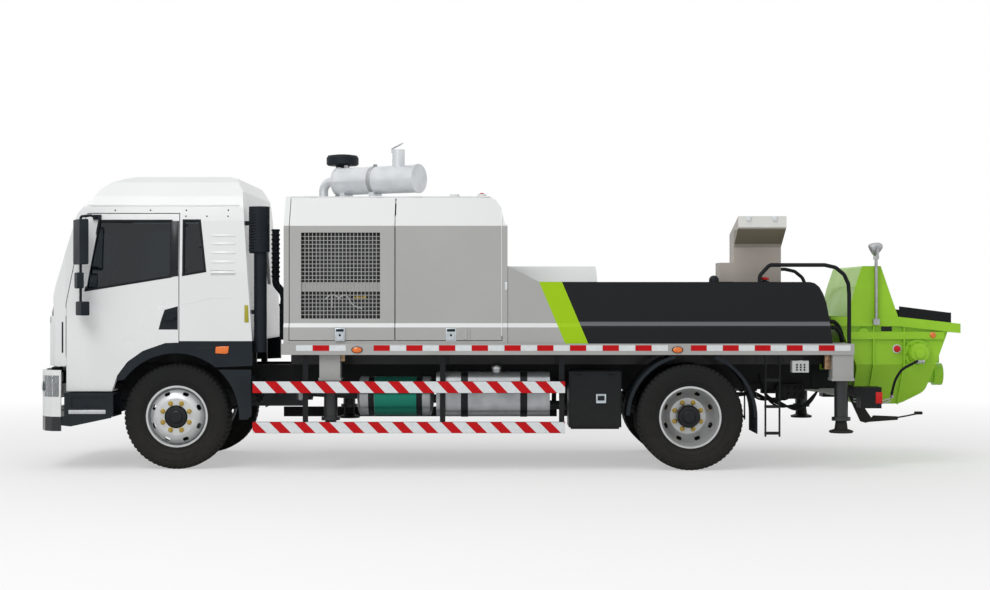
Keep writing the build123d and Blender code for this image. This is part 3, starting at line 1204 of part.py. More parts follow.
def make_ladders():
    """Access ladders that hang from the deck ahead of the rear legs, with bent grab rails above."""
    ladders = []
    top = rail_top_z + subframe_height - seat_gap
    for side in (-1, 1):
        pieces = []
        for x in (5664, 5799):
            y0, y1 = sorted((side * 1190, side * 1238))
            pieces.append(block(x, x + 12, y0, y1, 325, top))
        for z in (345, 600, 855):
            pieces.append(block(5664, 5811, side * 1180, side * 1238, z, z + 26))
        ladders.append(joined(pieces))
    cabinet = block(5929, 6086, -1215, -1100, 940, 1052)
    hanger = block(5990, 6030, -1215, -1203, 1045, top)
    y = 1180.0
    points = [(5620, cover_top_z + seat_gap), (5620, 1870), (5715, 1972), (6245, 1972), (6350, 1948), (6432, 1880),
              (6472, 1790), (6480, 1690), (6480, hood_base_z + seat_gap)]
    rail = tube_path([(x, y, z) for x, z in points], handrail_radius, 60)
    save("ladders_and_rails", *ladders, joined([cabinet, hanger]), rail, mirror(rail, about=Plane.XZ))


def moved_in(points, inset):
    """A closed outline moved inwards by one distance."""
    sketch = make_face(Polyline([(u, v) for u, v in points], close=True))
    return offset(sketch, -inset, kind=Kind.INTERSECTION) if inset else sketch


def grown(points, by):
    sketch = make_face(Polyline([(u, v) for u, v in points], close=True))
    return offset(sketch, by, kind=Kind.INTERSECTION)


def mirrored_outline(points):
    """Both halves of an outline drawn for positive widths only, each point (width, height)."""
    return points + [(-w, h) for w, h in reversed(points) if w > 0]


def cab_plan(inset):
    """The cab's plan outline as an upright block, moved inwards."""
    points = [(x, y) for x, y in cab_plan_points if y > 0]
    return upright(moved_in(points + [(x, -y) for x, y in reversed(points)], inset), 600, 3000)


def cab_front(inset):
    """The cab's front outline as a long block, moved inwards."""
    return along(moved_in(mirrored_outline(cab_front_points), inset), -1600, 1000)


def cab_body(inset):
    """The cab's outer form moved inwards: side, front and plan outlines crossed."""
    return across(moved_in(cab_side_points, inset), 1300) & cab_front(inset) & cab_plan(inset)


def cut_through(points, by, half_width=1300):
    """A side view outline cut right across the cab."""
    return across(grown(points, by), half_width)


def front_cut(points, by, x0, x1):
    return along(grown(points, by), x0, x1)


def make_cab():
    """Hollow cab shell with its panels, window openings, roof fairing and pressed louvres."""
    wall = cab_wall
    outer = cab_body(0)
    under_rear = block(-640, 800, -1300, 1300, 900, cab_floor_z)
    outer -= under_rear
    room = cab_body(wall)
    room -= block(-640 - wall, 800, -1300, 1300, 900, cab_floor_z + wall)
    room -= block(-1400, 800, -1300, 1300, 900, cab_panel_bottom_z + wall)
    room -= block(-1400, 800, -1300, 1300, 2690, 3000)
    shell = outer - room
    for y0, y1 in ((-1300, -1000), (1000, 1300)):
        opening = extrude(Plane((0, y0, 0), x_dir=(1, 0, 0), z_dir=(0, 1, 0)) * mirror(
            grown(door_points, door_gap), about=Plane.XZ), y1 - y0)
        shell -= opening
    shell -= front_cut(windscreen_points, seat_gap, -1400, -800)
    shell -= front_cut(rear_window_points, seat_gap, 500, 800)
    shell -= cut_through(quarter_window_points, seat_gap)
    for z in louvre_heights:
        slot = [(340, z - 28), (575, z - 22), (575, z + 22), (340, z + 28)]
        cutter = cut_through(slot, 0) - block(300, 600, -1138, 1138, z - 60, z + 60)
        shell -= cutter & (cab_body(0) - cab_body(12))
    lugs = []
    for side in (-1, 1):
        y0, y1 = sorted((side * (cab_pivot_y - 28), side * (cab_pivot_y + 28)))
        lug = rod_y(cab_pivot_x, y0, y1, cab_pivot_z, cab_eye_radius)
        lug += block(cab_pivot_x - 8, cab_pivot_x + 18, y0, y1, cab_pivot_z, cab_panel_bottom_z + 20)
        lug -= rod_y(cab_pivot_x, y0 - 5, y1 + 5, cab_pivot_z, cab_pivot_radius + running_gap)
        lugs.append(lug)
        for z in door_hinge_heights:
            shell -= rod_z(door_hinge_x, side * door_hinge_y, z - seat_gap, z + 40 + seat_gap, hinge_radius + 1)
            lugs.append(rod_z(door_hinge_x, side * door_hinge_y, z + 40 + seat_gap, z + 80, hinge_radius))
    main = max(shell.solids(), key=lambda solid: solid.volume)
    save("cab_shell", joined([main, *lugs]))


def door_shape(skin):
    """One door as a full-thickness panel that follows the cab's side."""
    return across(moved_in(door_points, 0), 1300) & cab_front(skin) & cab_plan(skin)


def make_doors():
    """Left and right doors with their windows cut, and the glass that fills them."""
    outer = door_shape(0)
    panel = (outer - door_shape(door_thickness)) & block(-1400, 800, 900, 1300, 600, 3000)
    window = cut_through(door_window_points, seat_gap)
    pocket = block(door_rear_x - 190, door_rear_x - 6, 1150 - 16, 1200, 1350, 1576)
    panel = panel - window - pocket
    for z in door_hinge_heights:
        panel -= rod_z(door_hinge_x, door_hinge_y, z + 40 - seat_gap, z + 80 + seat_gap, hinge_radius + 1)
        panel += rod_z(door_hinge_x, door_hinge_y, z, z + 40, hinge_radius)
    glass_band = (door_shape(28) - door_shape(28 + glass_thickness)) & block(-1400, 800, 900, 1300, 600, 3000)
    glass = glass_band & cut_through(door_window_points, 0.001)
    handle = block(door_rear_x - 180, door_rear_x - 16, 1150 - 15.7, 1150 - 4, 1356, 1570)
    handle += block(door_rear_x - 150, door_rear_x - 40, 1150 - 6, 1150 + 12, 1440, 1480)
    mirrors = mirror_set()
    for side_name, side in wheel_positions():
        save(f"door_{side_name}", placed(panel, side, 0, 0, 0))
        save(f"door_glass_{side_name}", placed(glass, side, 0, 0, 0))
        save(f"door_fittings_{side_name}", placed(handle, side, 0, 0, 0), placed(mirrors, side, 0, 0, 0))


def mirror_set():
    """Main, wide-angle and kerb mirror heads on one bent arm, bolted to the door's frame."""
    arm_x, arm_y, low_z = -868, 1340, 1560
    arm = tube_path([(-762, 1118, 2434), (-800, 1230, 2446), (arm_x, arm_y, 2430), (arm_x, arm_y, low_z),
                     (-890, 1240, low_z), (-900, 1151, low_z)], 13, 24)
    feet = [block(-930, -870, 1150.3, 1168, low_z - 25, low_z + 25), front_prism([(1108.8, 2410), (1101.8, 2458), (1132, 2458), (1132, 2410)], -800, -722)]
    heads = []
    for z0, z1, outline in (
        (1979, 2399, [(-955, 1262), (-890, 1240), (-776, 1420), (-850, 1450)]),
        (1750, 1893, [(-943, 1268), (-888, 1250), (-823, 1410), (-878, 1434)]),
        (1493, 1617, [(-932, 1262), (-868, 1245), (-772, 1400), (-842, 1424)]),
    ):
        heads.append(upright(rounded_outline(outline, [24, 12, 12, 30]), z0, z1))
    return joined([arm, *feet, *heads])


def make_cab_glass():
    """Windscreen, quarter windows and rear window, set in their openings."""
    band = cab_body(18) - cab_body(18 + glass_thickness)
    screen = band & front_cut(windscreen_points, 0.001, -1400, -800)
    rear = band & front_cut(rear_window_points, 0.001, 500, 800)
    quarters = [band & cut_through(quarter_window_points, 0.001) & block(0, 400, min(s * 900, s * 1300),
                max(s * 900, s * 1300), 1600, 2600) for s in (-1, 1)]
    save("cab_glass", screen, rear, *quarters)


def make_cab_interior():
    """Two seats, dashboard, steering wheel and the raised floor between them."""
    floor = cab_floor_z + cab_wall + seat_gap
    foot = cab_panel_bottom_z + cab_wall + seat_gap
    seats = []
    for y in (-560.0, 560.0):
        base = upright(rounded_outline([(-520, y - 240), (-60, y - 240), (-60, y + 240), (-520, y + 240)],
                                       [40, 40, 40, 40]), floor, floor + 210)
        cushion = upright(rounded_outline([(-580, y - 260), (-60, y - 260), (-60, y + 260), (-580, y + 260)],
                                          [90, 60, 60, 90]), floor + 200, floor + 330)
        back = across(rounded_outline([(-140, floor + 300), (20, floor + 300), (120, floor + 900),
                                       (0, floor + 910)], [30, 30, 40, 40]), 240)
        head = across(rounded_outline([(10, floor + 905), (110, floor + 905), (140, floor + 1100),
                                       (50, floor + 1105)], [10, 10, 30, 30]), 140)
        seats.append(joined([base, cushion, Pos(0, y, 0) * back, Pos(0, y, 0) * head]))
    dash_points = [(-1250, foot), (-1250, 1300), (-1236, 1390), (-1150, 1440), (-960, 1420), (-900, 1330),
                   (-930, 1200), (-1100, 1120), (-1150, foot)]
    dash = side_prism(dash_points, -1050, 1050) & cab_plan(cab_wall + seat_gap)
    place = Pos(-750, -560, 1540) * Rot(0, 37, 0)
    column = place * Pos(0, 0, -150) * Cylinder(30, 300)
    wheel = place * Torus(220, 16)
    spokes = [place * Rot(0, 0, a) * Pos(110, 0, 0) * Box(220, 34, 12) for a in (90, 210, 330)]
    hub_boss = place * Cylinder(52, 40)
    save("cab_interior", *seats, dash, joined([column, wheel, *spokes, hub_boss]) - dash)


def make_cab_trims():
    """Black wheel-arch trims and the air intake stack on the cab's rear wall."""
    trims = []
    for side in (-1, 1):
        y0, y1 = sorted((side * 1080, side * 1150))
        body = side_prism([(-560, 905), (-463, 1035), (-314, 1140), (-100, 1214), (115, 1239.7),
                           (arch_trim_rear_x, 1239.7), (arch_trim_rear_x, 1002), (200, 980), (-560, 860)], y0, y1)
        body -= rod_y(0, y0 - 10, y1 + 10, axle_z, arch_radius)
        body -= cut_through(door_points, door_gap)
        trims += list(body.solids())
    head = rod_z(snorkel_x - 10, -1020, 2100, 2540, 100)
    pipe = rod_z(snorkel_x, -1020, 1130, 2110, 62)
    arms = [block(cab_rear_at(z) + seat_gap, snorkel_x, -1050, -990, z, z + 40) for z in (1500, 2360)]
    save("cab_trims", *trims, joined([head, pipe, *arms]))


def cab_rear_at(z):
    """How far back the cab's rear wall reaches at one height."""
    low, high = (736, 1264), (645, 2537)
    return low[0] + (high[0] - low[0]) * (z - low[1]) / (high[1] - low[1])


def make_bumper():
    """Bumper shell with its ends turned back round the corners, and the lamps let into it."""
    plan = [(-1092, 1200), (-1180, 1190), (-1262, 1120), (-1322, 980), (-1360, 700), (bumper_front_x, 400),
            (bumper_front_x, 0)]
    outer_points = [(x, y) for x, y in plan if y > 0] + [(x, -y) for x, y in reversed(plan) if y > 0]
    outer = upright(make_face(Polyline(outer_points, close=True)), bumper_bottom_z, bumper_top_z)
    inner_plan = [(-1080, 1176), (-1170, 1166), (-1242, 1102), (-1299, 968), (-1336, 696), (-1348, 400)]
    inner_points = inner_plan + [(x, -y) for x, y in reversed(inner_plan)]
    inner = upright(make_face(Polyline(inner_points, close=True)), bumper_bottom_z - 5, bumper_top_z + 5)
    shell = outer - inner
    brackets = []
    for side in (-1, 1):
        brackets.append(block(-1350, rail_front_x - 120 - seat_gap, side * 386, side * 424, 800, 930))
        shell -= lamp_outline(side, 0)
    slot = block(-1400, -1300, -360, 360, 560, 640)
    save("bumper", joined([shell - slot, *brackets]))
    lamps = [(outer - inner) & lamp_outline(side, seat_gap) for side in (-1, 1)]
    save("headlamps", *[solid for lamp in lamps for solid in lamp.solids()])


def lamp_outline(side, inset):
    """The upright block that cuts one corner lamp out of the bumper."""
    points = [(-1110 - inset, 1230), (-1400, 1230), (-1400, 760 + inset), (-1250, 760 + inset),
              (-1110 - inset, 1050)]
    ordered = [(x, side * y) for x, y in (points if side > 0 else reversed(points))]
    return upright(make_face(Polyline(ordered, close=True)), 704 + inset, 910 - inset)



make_wheels()
make_knuckles()
make_frame()
make_springs()
make_axles()
make_drivetrain()
make_deck()
make_outriggers()
make_tanks()
make_side_guards()
make_fenders()
make_ladders()
make_hood_frame()
make_hood_doors()
make_power_pack()
make_muffler()
make_covers()
make_cabinet()
make_hopper()
make_hopper_guards()
make_grate()
make_agitator()
make_s_tube()
make_pumping_unit()
make_work_lamp()
make_cab()
make_doors()
make_cab_glass()
make_cab_interior()
make_cab_trims()
make_bumper()
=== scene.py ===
import bmesh
import bpy
import json
import math
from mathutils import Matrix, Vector


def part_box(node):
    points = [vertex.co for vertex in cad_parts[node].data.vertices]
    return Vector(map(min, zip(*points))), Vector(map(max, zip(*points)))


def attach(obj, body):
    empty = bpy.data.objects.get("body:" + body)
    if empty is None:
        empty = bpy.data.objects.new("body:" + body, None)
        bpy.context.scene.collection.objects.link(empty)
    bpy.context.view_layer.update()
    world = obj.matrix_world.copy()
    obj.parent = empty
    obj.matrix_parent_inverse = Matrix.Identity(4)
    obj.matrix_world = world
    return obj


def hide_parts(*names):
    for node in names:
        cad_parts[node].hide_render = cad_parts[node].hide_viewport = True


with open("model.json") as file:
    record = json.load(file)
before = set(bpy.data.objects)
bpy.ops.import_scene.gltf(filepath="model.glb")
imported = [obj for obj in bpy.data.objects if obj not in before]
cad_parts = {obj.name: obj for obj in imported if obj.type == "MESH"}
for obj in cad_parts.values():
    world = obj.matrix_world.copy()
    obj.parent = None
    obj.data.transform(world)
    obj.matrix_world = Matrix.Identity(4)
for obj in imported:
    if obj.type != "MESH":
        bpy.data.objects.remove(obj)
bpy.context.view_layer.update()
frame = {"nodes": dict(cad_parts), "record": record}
nodes = frame["nodes"]
frontAxleX = -3.144  # the truck's own millimetres start at the front axle
sideSigns = {"left": -1, "right": 1}
print("frame loaded,", len(nodes), "nodes")


# Materials: colour recipes first, all patterns on Object coordinates

def spot(x, y, z):
    return Vector((x / 1000 + frontAxleX, y / 1000, z / 1000))  # truck millimetres to scene metres


def linearColour(hexText):
    channels = [int(hexText[i:i + 2], 16) / 255 for i in (0, 2, 4)]
    return tuple(c / 12.92 if c <= 0.04045 else ((c + 0.055) / 1.055) ** 2.4 for c in channels) + (1.0,)


def addNode(tree, kind, inputs=None, links=None, **settings):
    node = tree.nodes.new(kind)
    for name, value in settings.items():
        setattr(node, name, value)
    for socket, value in (inputs or {}).items():
        node.inputs[socket].default_value = value
    for socket, source in (links or {}).items():
        tree.links.new(source, node.inputs[socket])
    return node


def perMetre(millimetres):
    return 1000 / millimetres  # noise scale whose blobs are about this many millimetres across


def slabMask(tree, place, slabs):
    mask = None  # 1 where every slab (direction, low, high) holds the point
    for direction, low, high in slabs:
        if len(direction) == 2:  # distance from a wheel's axis, given as its x and z
            flat = addNode(tree, "ShaderNodeVectorMath", {1: (1, 0, 1)}, {0: place}, operation="MULTIPLY")
            along = addNode(tree, "ShaderNodeVectorMath", {1: (direction[0], 0, direction[1])},
                            {0: flat.outputs[0]},
                            operation="DISTANCE")
        else:
            along = addNode(tree, "ShaderNodeVectorMath", {1: direction}, {0: place}, operation="DOT_PRODUCT")
        above = addNode(tree, "ShaderNodeMath", {1: low}, {0: along.outputs["Value"]},
                        operation="GREATER_THAN")
        below = addNode(tree, "ShaderNodeMath", {1: high}, {0: along.outputs["Value"]}, operation="LESS_THAN")
        both = addNode(tree, "ShaderNodeMath", {}, {0: above.outputs[0], 1: below.outputs[0]},
                       operation="MULTIPLY")
        if mask is not None:
            both = addNode(tree, "ShaderNodeMath", {}, {0: mask, 1: both.outputs[0]}, operation="MULTIPLY")
        mask = both.outputs[0]
    return mask


def mixColour(tree, factor, first, second):
    mix = addNode(tree, "ShaderNodeMix", data_type="RGBA")
    for socket, value in ((0, factor), (6, first), (7, second)):
        if isinstance(value, bpy.types.NodeSocket):
            tree.links.new(value, mix.inputs[socket])
        else:
            mix.inputs[socket].default_value = value
    return mix.outputs[2]


def finish(name, colour, shade=None, patch=400, rough=0.4, roughSpread=0.08, grain=3.0, depth=0.05, dust=None,
           zones=(), stretch=(1, 1, 1), **shader):
    material = bpy.data.materials.new(name)
    material.use_nodes = True
    tree = material.node_tree
    surface = tree.nodes["Principled BSDF"]
    place = addNode(tree, "ShaderNodeTexCoord").outputs["Object"]
    clouds = addNode(tree, "ShaderNodeTexNoise", {"Scale": perMetre(patch), "Detail": 5.0}, {"Vector": place})
    spread = addNode(tree, "ShaderNodeMapRange", {1: 0.35, 2: 0.65, 3: 0.0, 4: 1.0},
                     {0: clouds.outputs["Fac"]})
    base = mixColour(tree, spread.outputs[0], linearColour(colour), linearColour(shade or colour))
    for zoneColour, slabs in zones:
        base = mixColour(tree, slabMask(tree, place, slabs), base, linearColour(zoneColour))
    if dust:
        dustColour, amount, fadeHeight = dust  # settles most near the road
        height = addNode(tree, "ShaderNodeSeparateXYZ", {}, {0: place}).outputs["Z"]
        fade = addNode(tree, "ShaderNodeMapRange", {1: 0.0, 2: fadeHeight, 3: amount, 4: 0.0}, {0: height})
        specks = addNode(tree, "ShaderNodeTexNoise", {"Scale": perMetre(60), "Detail": 8.0},
                         {"Vector": place})
        film = addNode(tree, "ShaderNodeMath", {}, {0: fade.outputs[0], 1: specks.outputs["Fac"]},
                       operation="MULTIPLY")
        base = mixColour(tree, film.outputs[0], base, linearColour(dustColour))
    tree.links.new(base, surface.inputs["Base Color"])
    roughness = addNode(tree, "ShaderNodeMapRange",
                        {1: 0.3, 2: 0.7, 3: rough - roughSpread, 4: rough + roughSpread},
                        {0: clouds.outputs["Fac"]})
    tree.links.new(roughness.outputs[0], surface.inputs["Roughness"])
    mapped = addNode(tree, "ShaderNodeMapping", {"Scale": stretch}, {"Vector": place})
    fine = addNode(tree, "ShaderNodeTexNoise", {"Scale": perMetre(grain), "Detail": 2.0},
                   {"Vector": mapped.outputs[0]})
    bump = addNode(tree, "ShaderNodeBump", {"Strength": 0.5, "Distance": depth / 1000},
                   {"Height": fine.outputs["Fac"]})
    tree.links.new(bump.outputs[0], surface.inputs["Normal"])
    for socket, value in shader.items():
        surface.inputs[{"metal": "Metallic", "ior": "IOR", "coat": "Coat Weight",
                        "coatRough": "Coat Roughness",
                        "clear": "Transmission Weight", "sheen": "Sheen Weight",
                        "gloss": "Specular IOR Level"}[socket]].default_value = value
    return material


xWay, yWay, zWay = (1, 0, 0), (0, 1, 0), (0, 0, 1)
stripe = (1, 0, 0.424)  # the green band leans back as it goes down
deckColours = {"lightBand": "e6e8e8", "body": "b1b1b0", "bodyShade": "adadab", "green": "a3cf12",
               "dark": "16181b"}
finishes = {
    # baked enamel on pressed steel: even white with a soft gloss, faint road film low down
    "cabEnamel": finish("cabEnamel", "e9ebeb", "e6e8e8", 900, 0.3, 0.04, 6, 0.02, ("b9b2a4", 0.18, 1.3),
                        coat=0.4,
                        coatRough=0.08, gloss=0.35),
    # two-tone enamel on folded sheet: light roof band over a mid grey side; a thin light line lower down is
    # painted highlight along a panel crease
    "hoodEnamel": finish("hoodEnamel", deckColours["body"], deckColours["bodyShade"], 700, 0.38, 0.05, 6,
                         0.03,
                         zones=((deckColours["lightBand"], ((zWay, 2.348, 9.0),)),
                                # thin line at 1.373–1.413 m: painted highlight where the panel crease catches
                                # light
                                (deckColours["lightBand"], ((zWay, 1.373, 1.413),))),
                         coat=0.2, coatRough=0.15, gloss=0.35),
    # enamel with a painted band: grey, leaning green stripe, then satin black; thin light and grey lines
    # along the crease are painted highlight
    "coverEnamel": finish("coverEnamel", deckColours["body"], deckColours["bodyShade"], 700, 0.38, 0.05, 6,
                          0.03,
                          # thin light line: painted highlight along the panel crease
                          zones=((deckColours["lightBand"], ((zWay, 1.373, 1.413),)),
                                 (deckColours["dark"], ((stripe, 1.342, 9.0),)),
                                 # grey line over the black: the same painted crease highlight
                                 ("6a6d70", ((stripe, 1.342, 9.0), (zWay, 1.388, 1.427))),
                                 (deckColours["green"], ((stripe, 1.122, 1.342),)),
                                 (deckColours["lightBand"], ((zWay, 1.8095, 9.0), (yWay, -0.435, 0.435)))),
                          coat=0.1, coatRough=0.2, gloss=0.16),
    # silver-grey enamel on rolled channel: pale and satin with grime in patches
    "deckEnamel": finish("deckEnamel", "b0b0af", "a6a6a4", 500, 0.42, 0.06, 5, 0.04, ("6d675c", 0.25, 1.2),
                         coat=0.2),
    # chassis black over forged and rolled steel: satin, with dry dust lower down
    "chassisBlack": finish("chassisBlack", "15171a", "1b1d20", 260, 0.5, 0.1, 4, 0.15, ("77705f", 0.2, 1.1),
                           gloss=0.16),
    # deep satin black enamel on the locker and guards
    "lockerBlack": finish("lockerBlack", "1d1f21", "1a1c1e", 500, 0.45, 0.05, 4, 0.05, ("77705f", 0.1, 1.0),
                          gloss=0.14),
    # pump maker's green enamel: bright, glossy, with dried cement film
    "pumpGreen": finish("pumpGreen", "a2da2f", "99d02a", 420, 0.36, 0.07, 6, 0.04, ("a7a88f", 0.1, 1.6),
                        coat=0.25,
                        coatRough=0.12, gloss=0.2),
    # mineral-filled polypropylene, spark-eroded mould grain: dull dark grey
    "mouldedBlack": finish("mouldedBlack", "20272d", "1b2127", 300, 0.52, 0.06, 1.6, 0.12,
                           ("6c675b", 0.1, 1.2),
                           gloss=0.16),
    # carbon-black rubber: matt, slightly brown where dust sits
    "treadRubber": finish("treadRubber", "191a1b", "1f1f1f", 180, 0.78, 0.08, 3, 0.2, ("6f685b", 0.14, 1.0),
                          gloss=0.2),
    # sheet rubber on lips and hoses: smoother and blacker than the tread
    "flapRubber": finish("flapRubber", "17191b", "1d1f20", 150, 0.7, 0.08, 2.5, 0.15, gloss=0.15),
    # silver wheel paint over pressed steel: bright, soft metallic flake
    "wheelSilver": finish("wheelSilver", "d3d5d6", "c6c8c9", 90, 0.34, 0.06, 1.2, 0.04,
                          ("7b7364", 0.2, 0.9), metal=0.55),
    # aluminised exhaust steel: pale silver with a low sheen
    "exhaustSilver": finish("exhaustSilver", "e1e4e7", "d3d6da", 160, 0.34, 0.06, 1.5, 0.05, metal=0.45),
    # zinc-plated and ground steel
    "plainSteel": finish("plainSteel", "b4b6b8", "a2a4a6", 60, 0.36, 0.08, 0.8, 0.05, metal=0.9),
    # yellow-passivated zinc on wheel nuts and valves
    "yellowZinc": finish("yellowZinc", "c2a64e", "a98f45", 14, 0.34, 0.08, 0.8, 0.03, metal=0.85),
    # brushed tank aluminium: grain runs round the tank, held by black straps
    "tankAluminium": finish("tankAluminium", "a9acae", "9a9da0", 120, 0.36, 0.07, 1.0, 0.08,
                            ("6f685b", 0.25, 0.8),
                            stretch=(1, 0.06, 0.06), metal=0.8),
    # grey-beige powder coat with a fine pebble; lighter grey canopy front, and painted shade on the canopy's
    # sloping underside
    "cabinetPowder": finish("cabinetPowder", "bbb4ab", "b1aaa1", 400, 0.46, 0.05, 2.5, 0.09,
                            zones=(("e3e3df", ((zWay, 2.316, 9.0), (yWay, -1.3, -1.235))),
                                   # olive-dark band: painted shade on the canopy's downward-facing underside
                                   ("7a7362", ((zWay, 2.18, 2.3155), (yWay, -1.3, -0.915)))), gloss=0.3),
    # tinted laminated glass
    "windowGlass": finish("windowGlass", "44525b", None, 900, 0.03, 0.01, 60, 0.01, clear=0.92, ior=1.45),
    # clear moulded polycarbonate over the lamps
    "lampClear": finish("lampClear", "e9eef0", None, 900, 0.05, 0.01, 9, 0.08, clear=0.85, ior=1.58),
    # orange and red acrylic lenses with moulded ribs
    "lensOrange": finish("lensOrange", "f07a12", "e86c0c", 20, 0.18, 0.03, 5, 0.4, coat=0.6, coatRough=0.05),
    "lensRed": finish("lensRed", "d4140f", "c6100c", 20, 0.2, 0.03, 5, 0.4, coat=0.3, coatRough=0.06,
                      gloss=0.2),
    # silvered glass of the mirrors and lamp bowls
    "mirrorSilver": finish("mirrorSilver", "c9d2d8", "c3ccd3", 400, 0.06, 0.02, 40, 0.005, metal=0.95),
    # retroreflective sheeting: beaded film, white and red
    "tapeWhite": finish("tapeWhite", "e3e8ea", "d9dee1", 40, 0.3, 0.04, 2.0, 0.06, coat=0.5, coatRough=0.1),
    # red reflective film, duller than the lenses
    "tapeRed": finish("tapeRed", "c9040f", "bd030d", 40, 0.34, 0.04, 2.0, 0.06, coat=0.15, coatRough=0.15,
                      gloss=0.12),
    # woven seat cloth, dark grey; 3 mm cells drawn instead of sub-millimetre yarn so they show
    "seatCloth": finish("seatCloth", "3a3d42", "30333a", 60, 0.85, 0.05, 3, 0.5, sheen=0.4),
    # extruded window rubber, satin black
    "sealRubber": finish("sealRubber", "15181b", "1a1d20", 120, 0.5, 0.06, 2, 0.05, gloss=0.15),
    # black acrylic-coated trim: deep and glossy
    "glossBlack": finish("glossBlack", "181d22", "14191d", 300, 0.22, 0.04, 8, 0.01, gloss=0.3),
    # yellow prismatic reflector
    "lensYellow": finish("lensYellow", "a9a21a", "9c9616", 20, 0.25, 0.03, 4, 0.2, coat=0.4, coatRough=0.08),
    # rolled tread aluminium: bright, brushed along the step
    "stepAluminium": finish("stepAluminium", "c9cccf", "b9bcbf", 60, 0.32, 0.06, 1, 0.05,
                            stretch=(0.05, 1, 1), metal=0.7),
    # bright zinc on latch pressings: cool grey, soft sheen
    "latchZinc": finish("latchZinc", "ccd4d9", "bcc5cb", 40, 0.32, 0.06, 1, 0.04, metal=0.5),
    # pale braided coolant hose
    "paleHose": finish("paleHose", "d5d7d4", "bfc2c0", 30, 0.5, 0.08, 2, 0.2),
    # cast brass valve body: dull yellow-brown
    "brassPlate": finish("brassPlate", "bd9c77", "a5866a", 30, 0.42, 0.08, 1.5, 0.12, metal=0.5),
    # cast iron and painted engine block behind the grille
    "engineCast": finish("engineCast", "34383a", "2b2e30", 120, 0.6, 0.1, 5, 0.4),
}
print("finishes made:", len(finishes))


def mixedNode(name, base, parts):
    material = finishes[base].copy()
    material.name = name
    tree = material.node_tree
    surface = tree.nodes["Principled BSDF"]
    place = next(node for node in tree.nodes if node.type == "TEX_COORD").outputs["Object"]
    colour = surface.inputs["Base Color"].links[0].from_socket
    for hexText, slabs in parts:
        colour = mixColour(tree, slabMask(tree, place, slabs), colour, linearColour(hexText))
    tree.links.new(colour, surface.inputs["Base Color"])
    return material


strapBlack, shadowBlack, tankPaint = "1d1f21", "17191b", "1f7e6a"
finishes["bumperMix"] = mixedNode("bumperMix", "cabEnamel", (("15181b", ((zWay, 0.0, 0.515),)),))

slotFinish = {
    "chassis_paint": "chassisBlack", "cab_paint": "cabEnamel", "body_paint": "hoodEnamel",
    "hopper_paint": "pumpGreen",
    "black_plastic": "mouldedBlack", "tyre_rubber": "treadRubber", "wheel_steel": "wheelSilver",
    "window_glass": "windowGlass", "lamp_glass": "lampClear", "seat_fabric": "seatCloth",
    "plain_steel": "plainSteel",
    "exhaust_steel": "exhaustSilver", "flap_rubber": "flapRubber", "cabinet_paint": "cabinetPowder",
    "engine_paint": "engineCast",
}
nodeFinish = {"bay_covers": "coverEnamel", "deck": "deckMix", "lockers": "lockerBlack",
              "guards": "lockerBlack"}
finishes["deckMix"] = mixedNode("deckMix", "deckEnamel", ((shadowBlack, ((zWay, 0.0, 1.108),)),))
finishes["sleevePaint"] = mixedNode("sleevePaint", "deckEnamel", ((strapBlack, ((zWay, 0.0, 0.859),)),
                                                                  (strapBlack, ((yWay, -0.93, 0.93),))))
finishes["tankMix"] = mixedNode("tankMix", "tankAluminium", (
    (tankPaint, ((xWay, -1.229, -0.825), (yWay, -1.3, -0.7))),
    (strapBlack, ((xWay, -0.9, 0.5), (yWay, -0.72, 0.72))),
    (strapBlack, ((xWay, -1.287, -1.231), (yWay, -1.3, -0.7))),
    (strapBlack, ((xWay, -0.825, -0.769), (yWay, -1.3, -0.7))),
    (strapBlack, ((xWay, -0.396, -0.328),)), (strapBlack, ((xWay, 0.175, 0.243),))))
for wheelNode, axleX, drumY in (("wheelFront", 0.0, 1.0), ("wheelRear", 4.95, 0.94)):
    centre = (frontAxleX + axleX, 0.509)
    finishes[wheelNode] = mixedNode(wheelNode, "wheelSilver", (
        (strapBlack, ((centre, 0.0, 0.1115),)), ("232425", ((centre, 0.0, 0.245), (yWay, -drumY, drumY)))))
finishes["ladderMix"] = mixedNode("ladderMix", "lockerBlack",
                                  (("c9cbca", ((xWay, 2.78, 2.95), (zWay, 0.93, 1.055))),))
finishes["packMix"] = mixedNode("packMix", "engineCast", ((shadowBlack, ((xWay, -9, -1.79),)),))
nodeFinish.update({"outrigger_sleeves": "sleevePaint", "tanks": "tankMix", "ladders_and_rails": "ladderMix",
                   "power_pack": "packMix", "bumper": "bumperMix", "wheel_front_left": "wheelFront",
                   "wheel_front_right": "wheelFront",
                   "wheels_rear_left": "wheelRear", "wheels_rear_right": "wheelRear"})
nodeFinish.update({"jack_" + end + "_" + side: "chassisBlack" for end in ("front",
                                                                          "rear") for side in sideSigns})
for nodeRecord in frame["record"]["subparts"]:
    nodeObject = nodes[nodeRecord["node"]]
    chosen = nodeFinish.get(nodeRecord["node"]) or slotFinish[nodeRecord["material_slot"]]
    nodeObject.data.materials.clear()
    nodeObject.data.materials.append(finishes[chosen])
print("node finishes set")


# Modelling helpers: every size is in the truck's own millimetres

def startFresh(active=None):
    if bpy.context.object and bpy.context.object.mode != "OBJECT":
        bpy.ops.object.mode_set(mode="OBJECT")
    bpy.ops.object.select_all(action="DESELECT")
    if active:
        active.select_set(True)
        bpy.context.view_layer.objects.active = active


def editAll(piece):
    startFresh(piece)
    bpy.ops.object.mode_set(mode="EDIT")
    bpy.ops.mesh.select_all(action="SELECT")


def applyPlace(piece):
    startFresh(piece)
    bpy.ops.object.transform_apply(location=True, rotation=True, scale=True)


def pickFaces(piece, test):
    mesh = bmesh.from_edit_mesh(piece.data)  # selects faces by place and normal
    bpy.ops.mesh.select_mode(type="FACE")
    for face in mesh.faces:
        face.select_set(test(face.calc_center_median(), face.normal))
    mesh.select_flush_mode()
    bmesh.update_edit_mesh(piece.data)


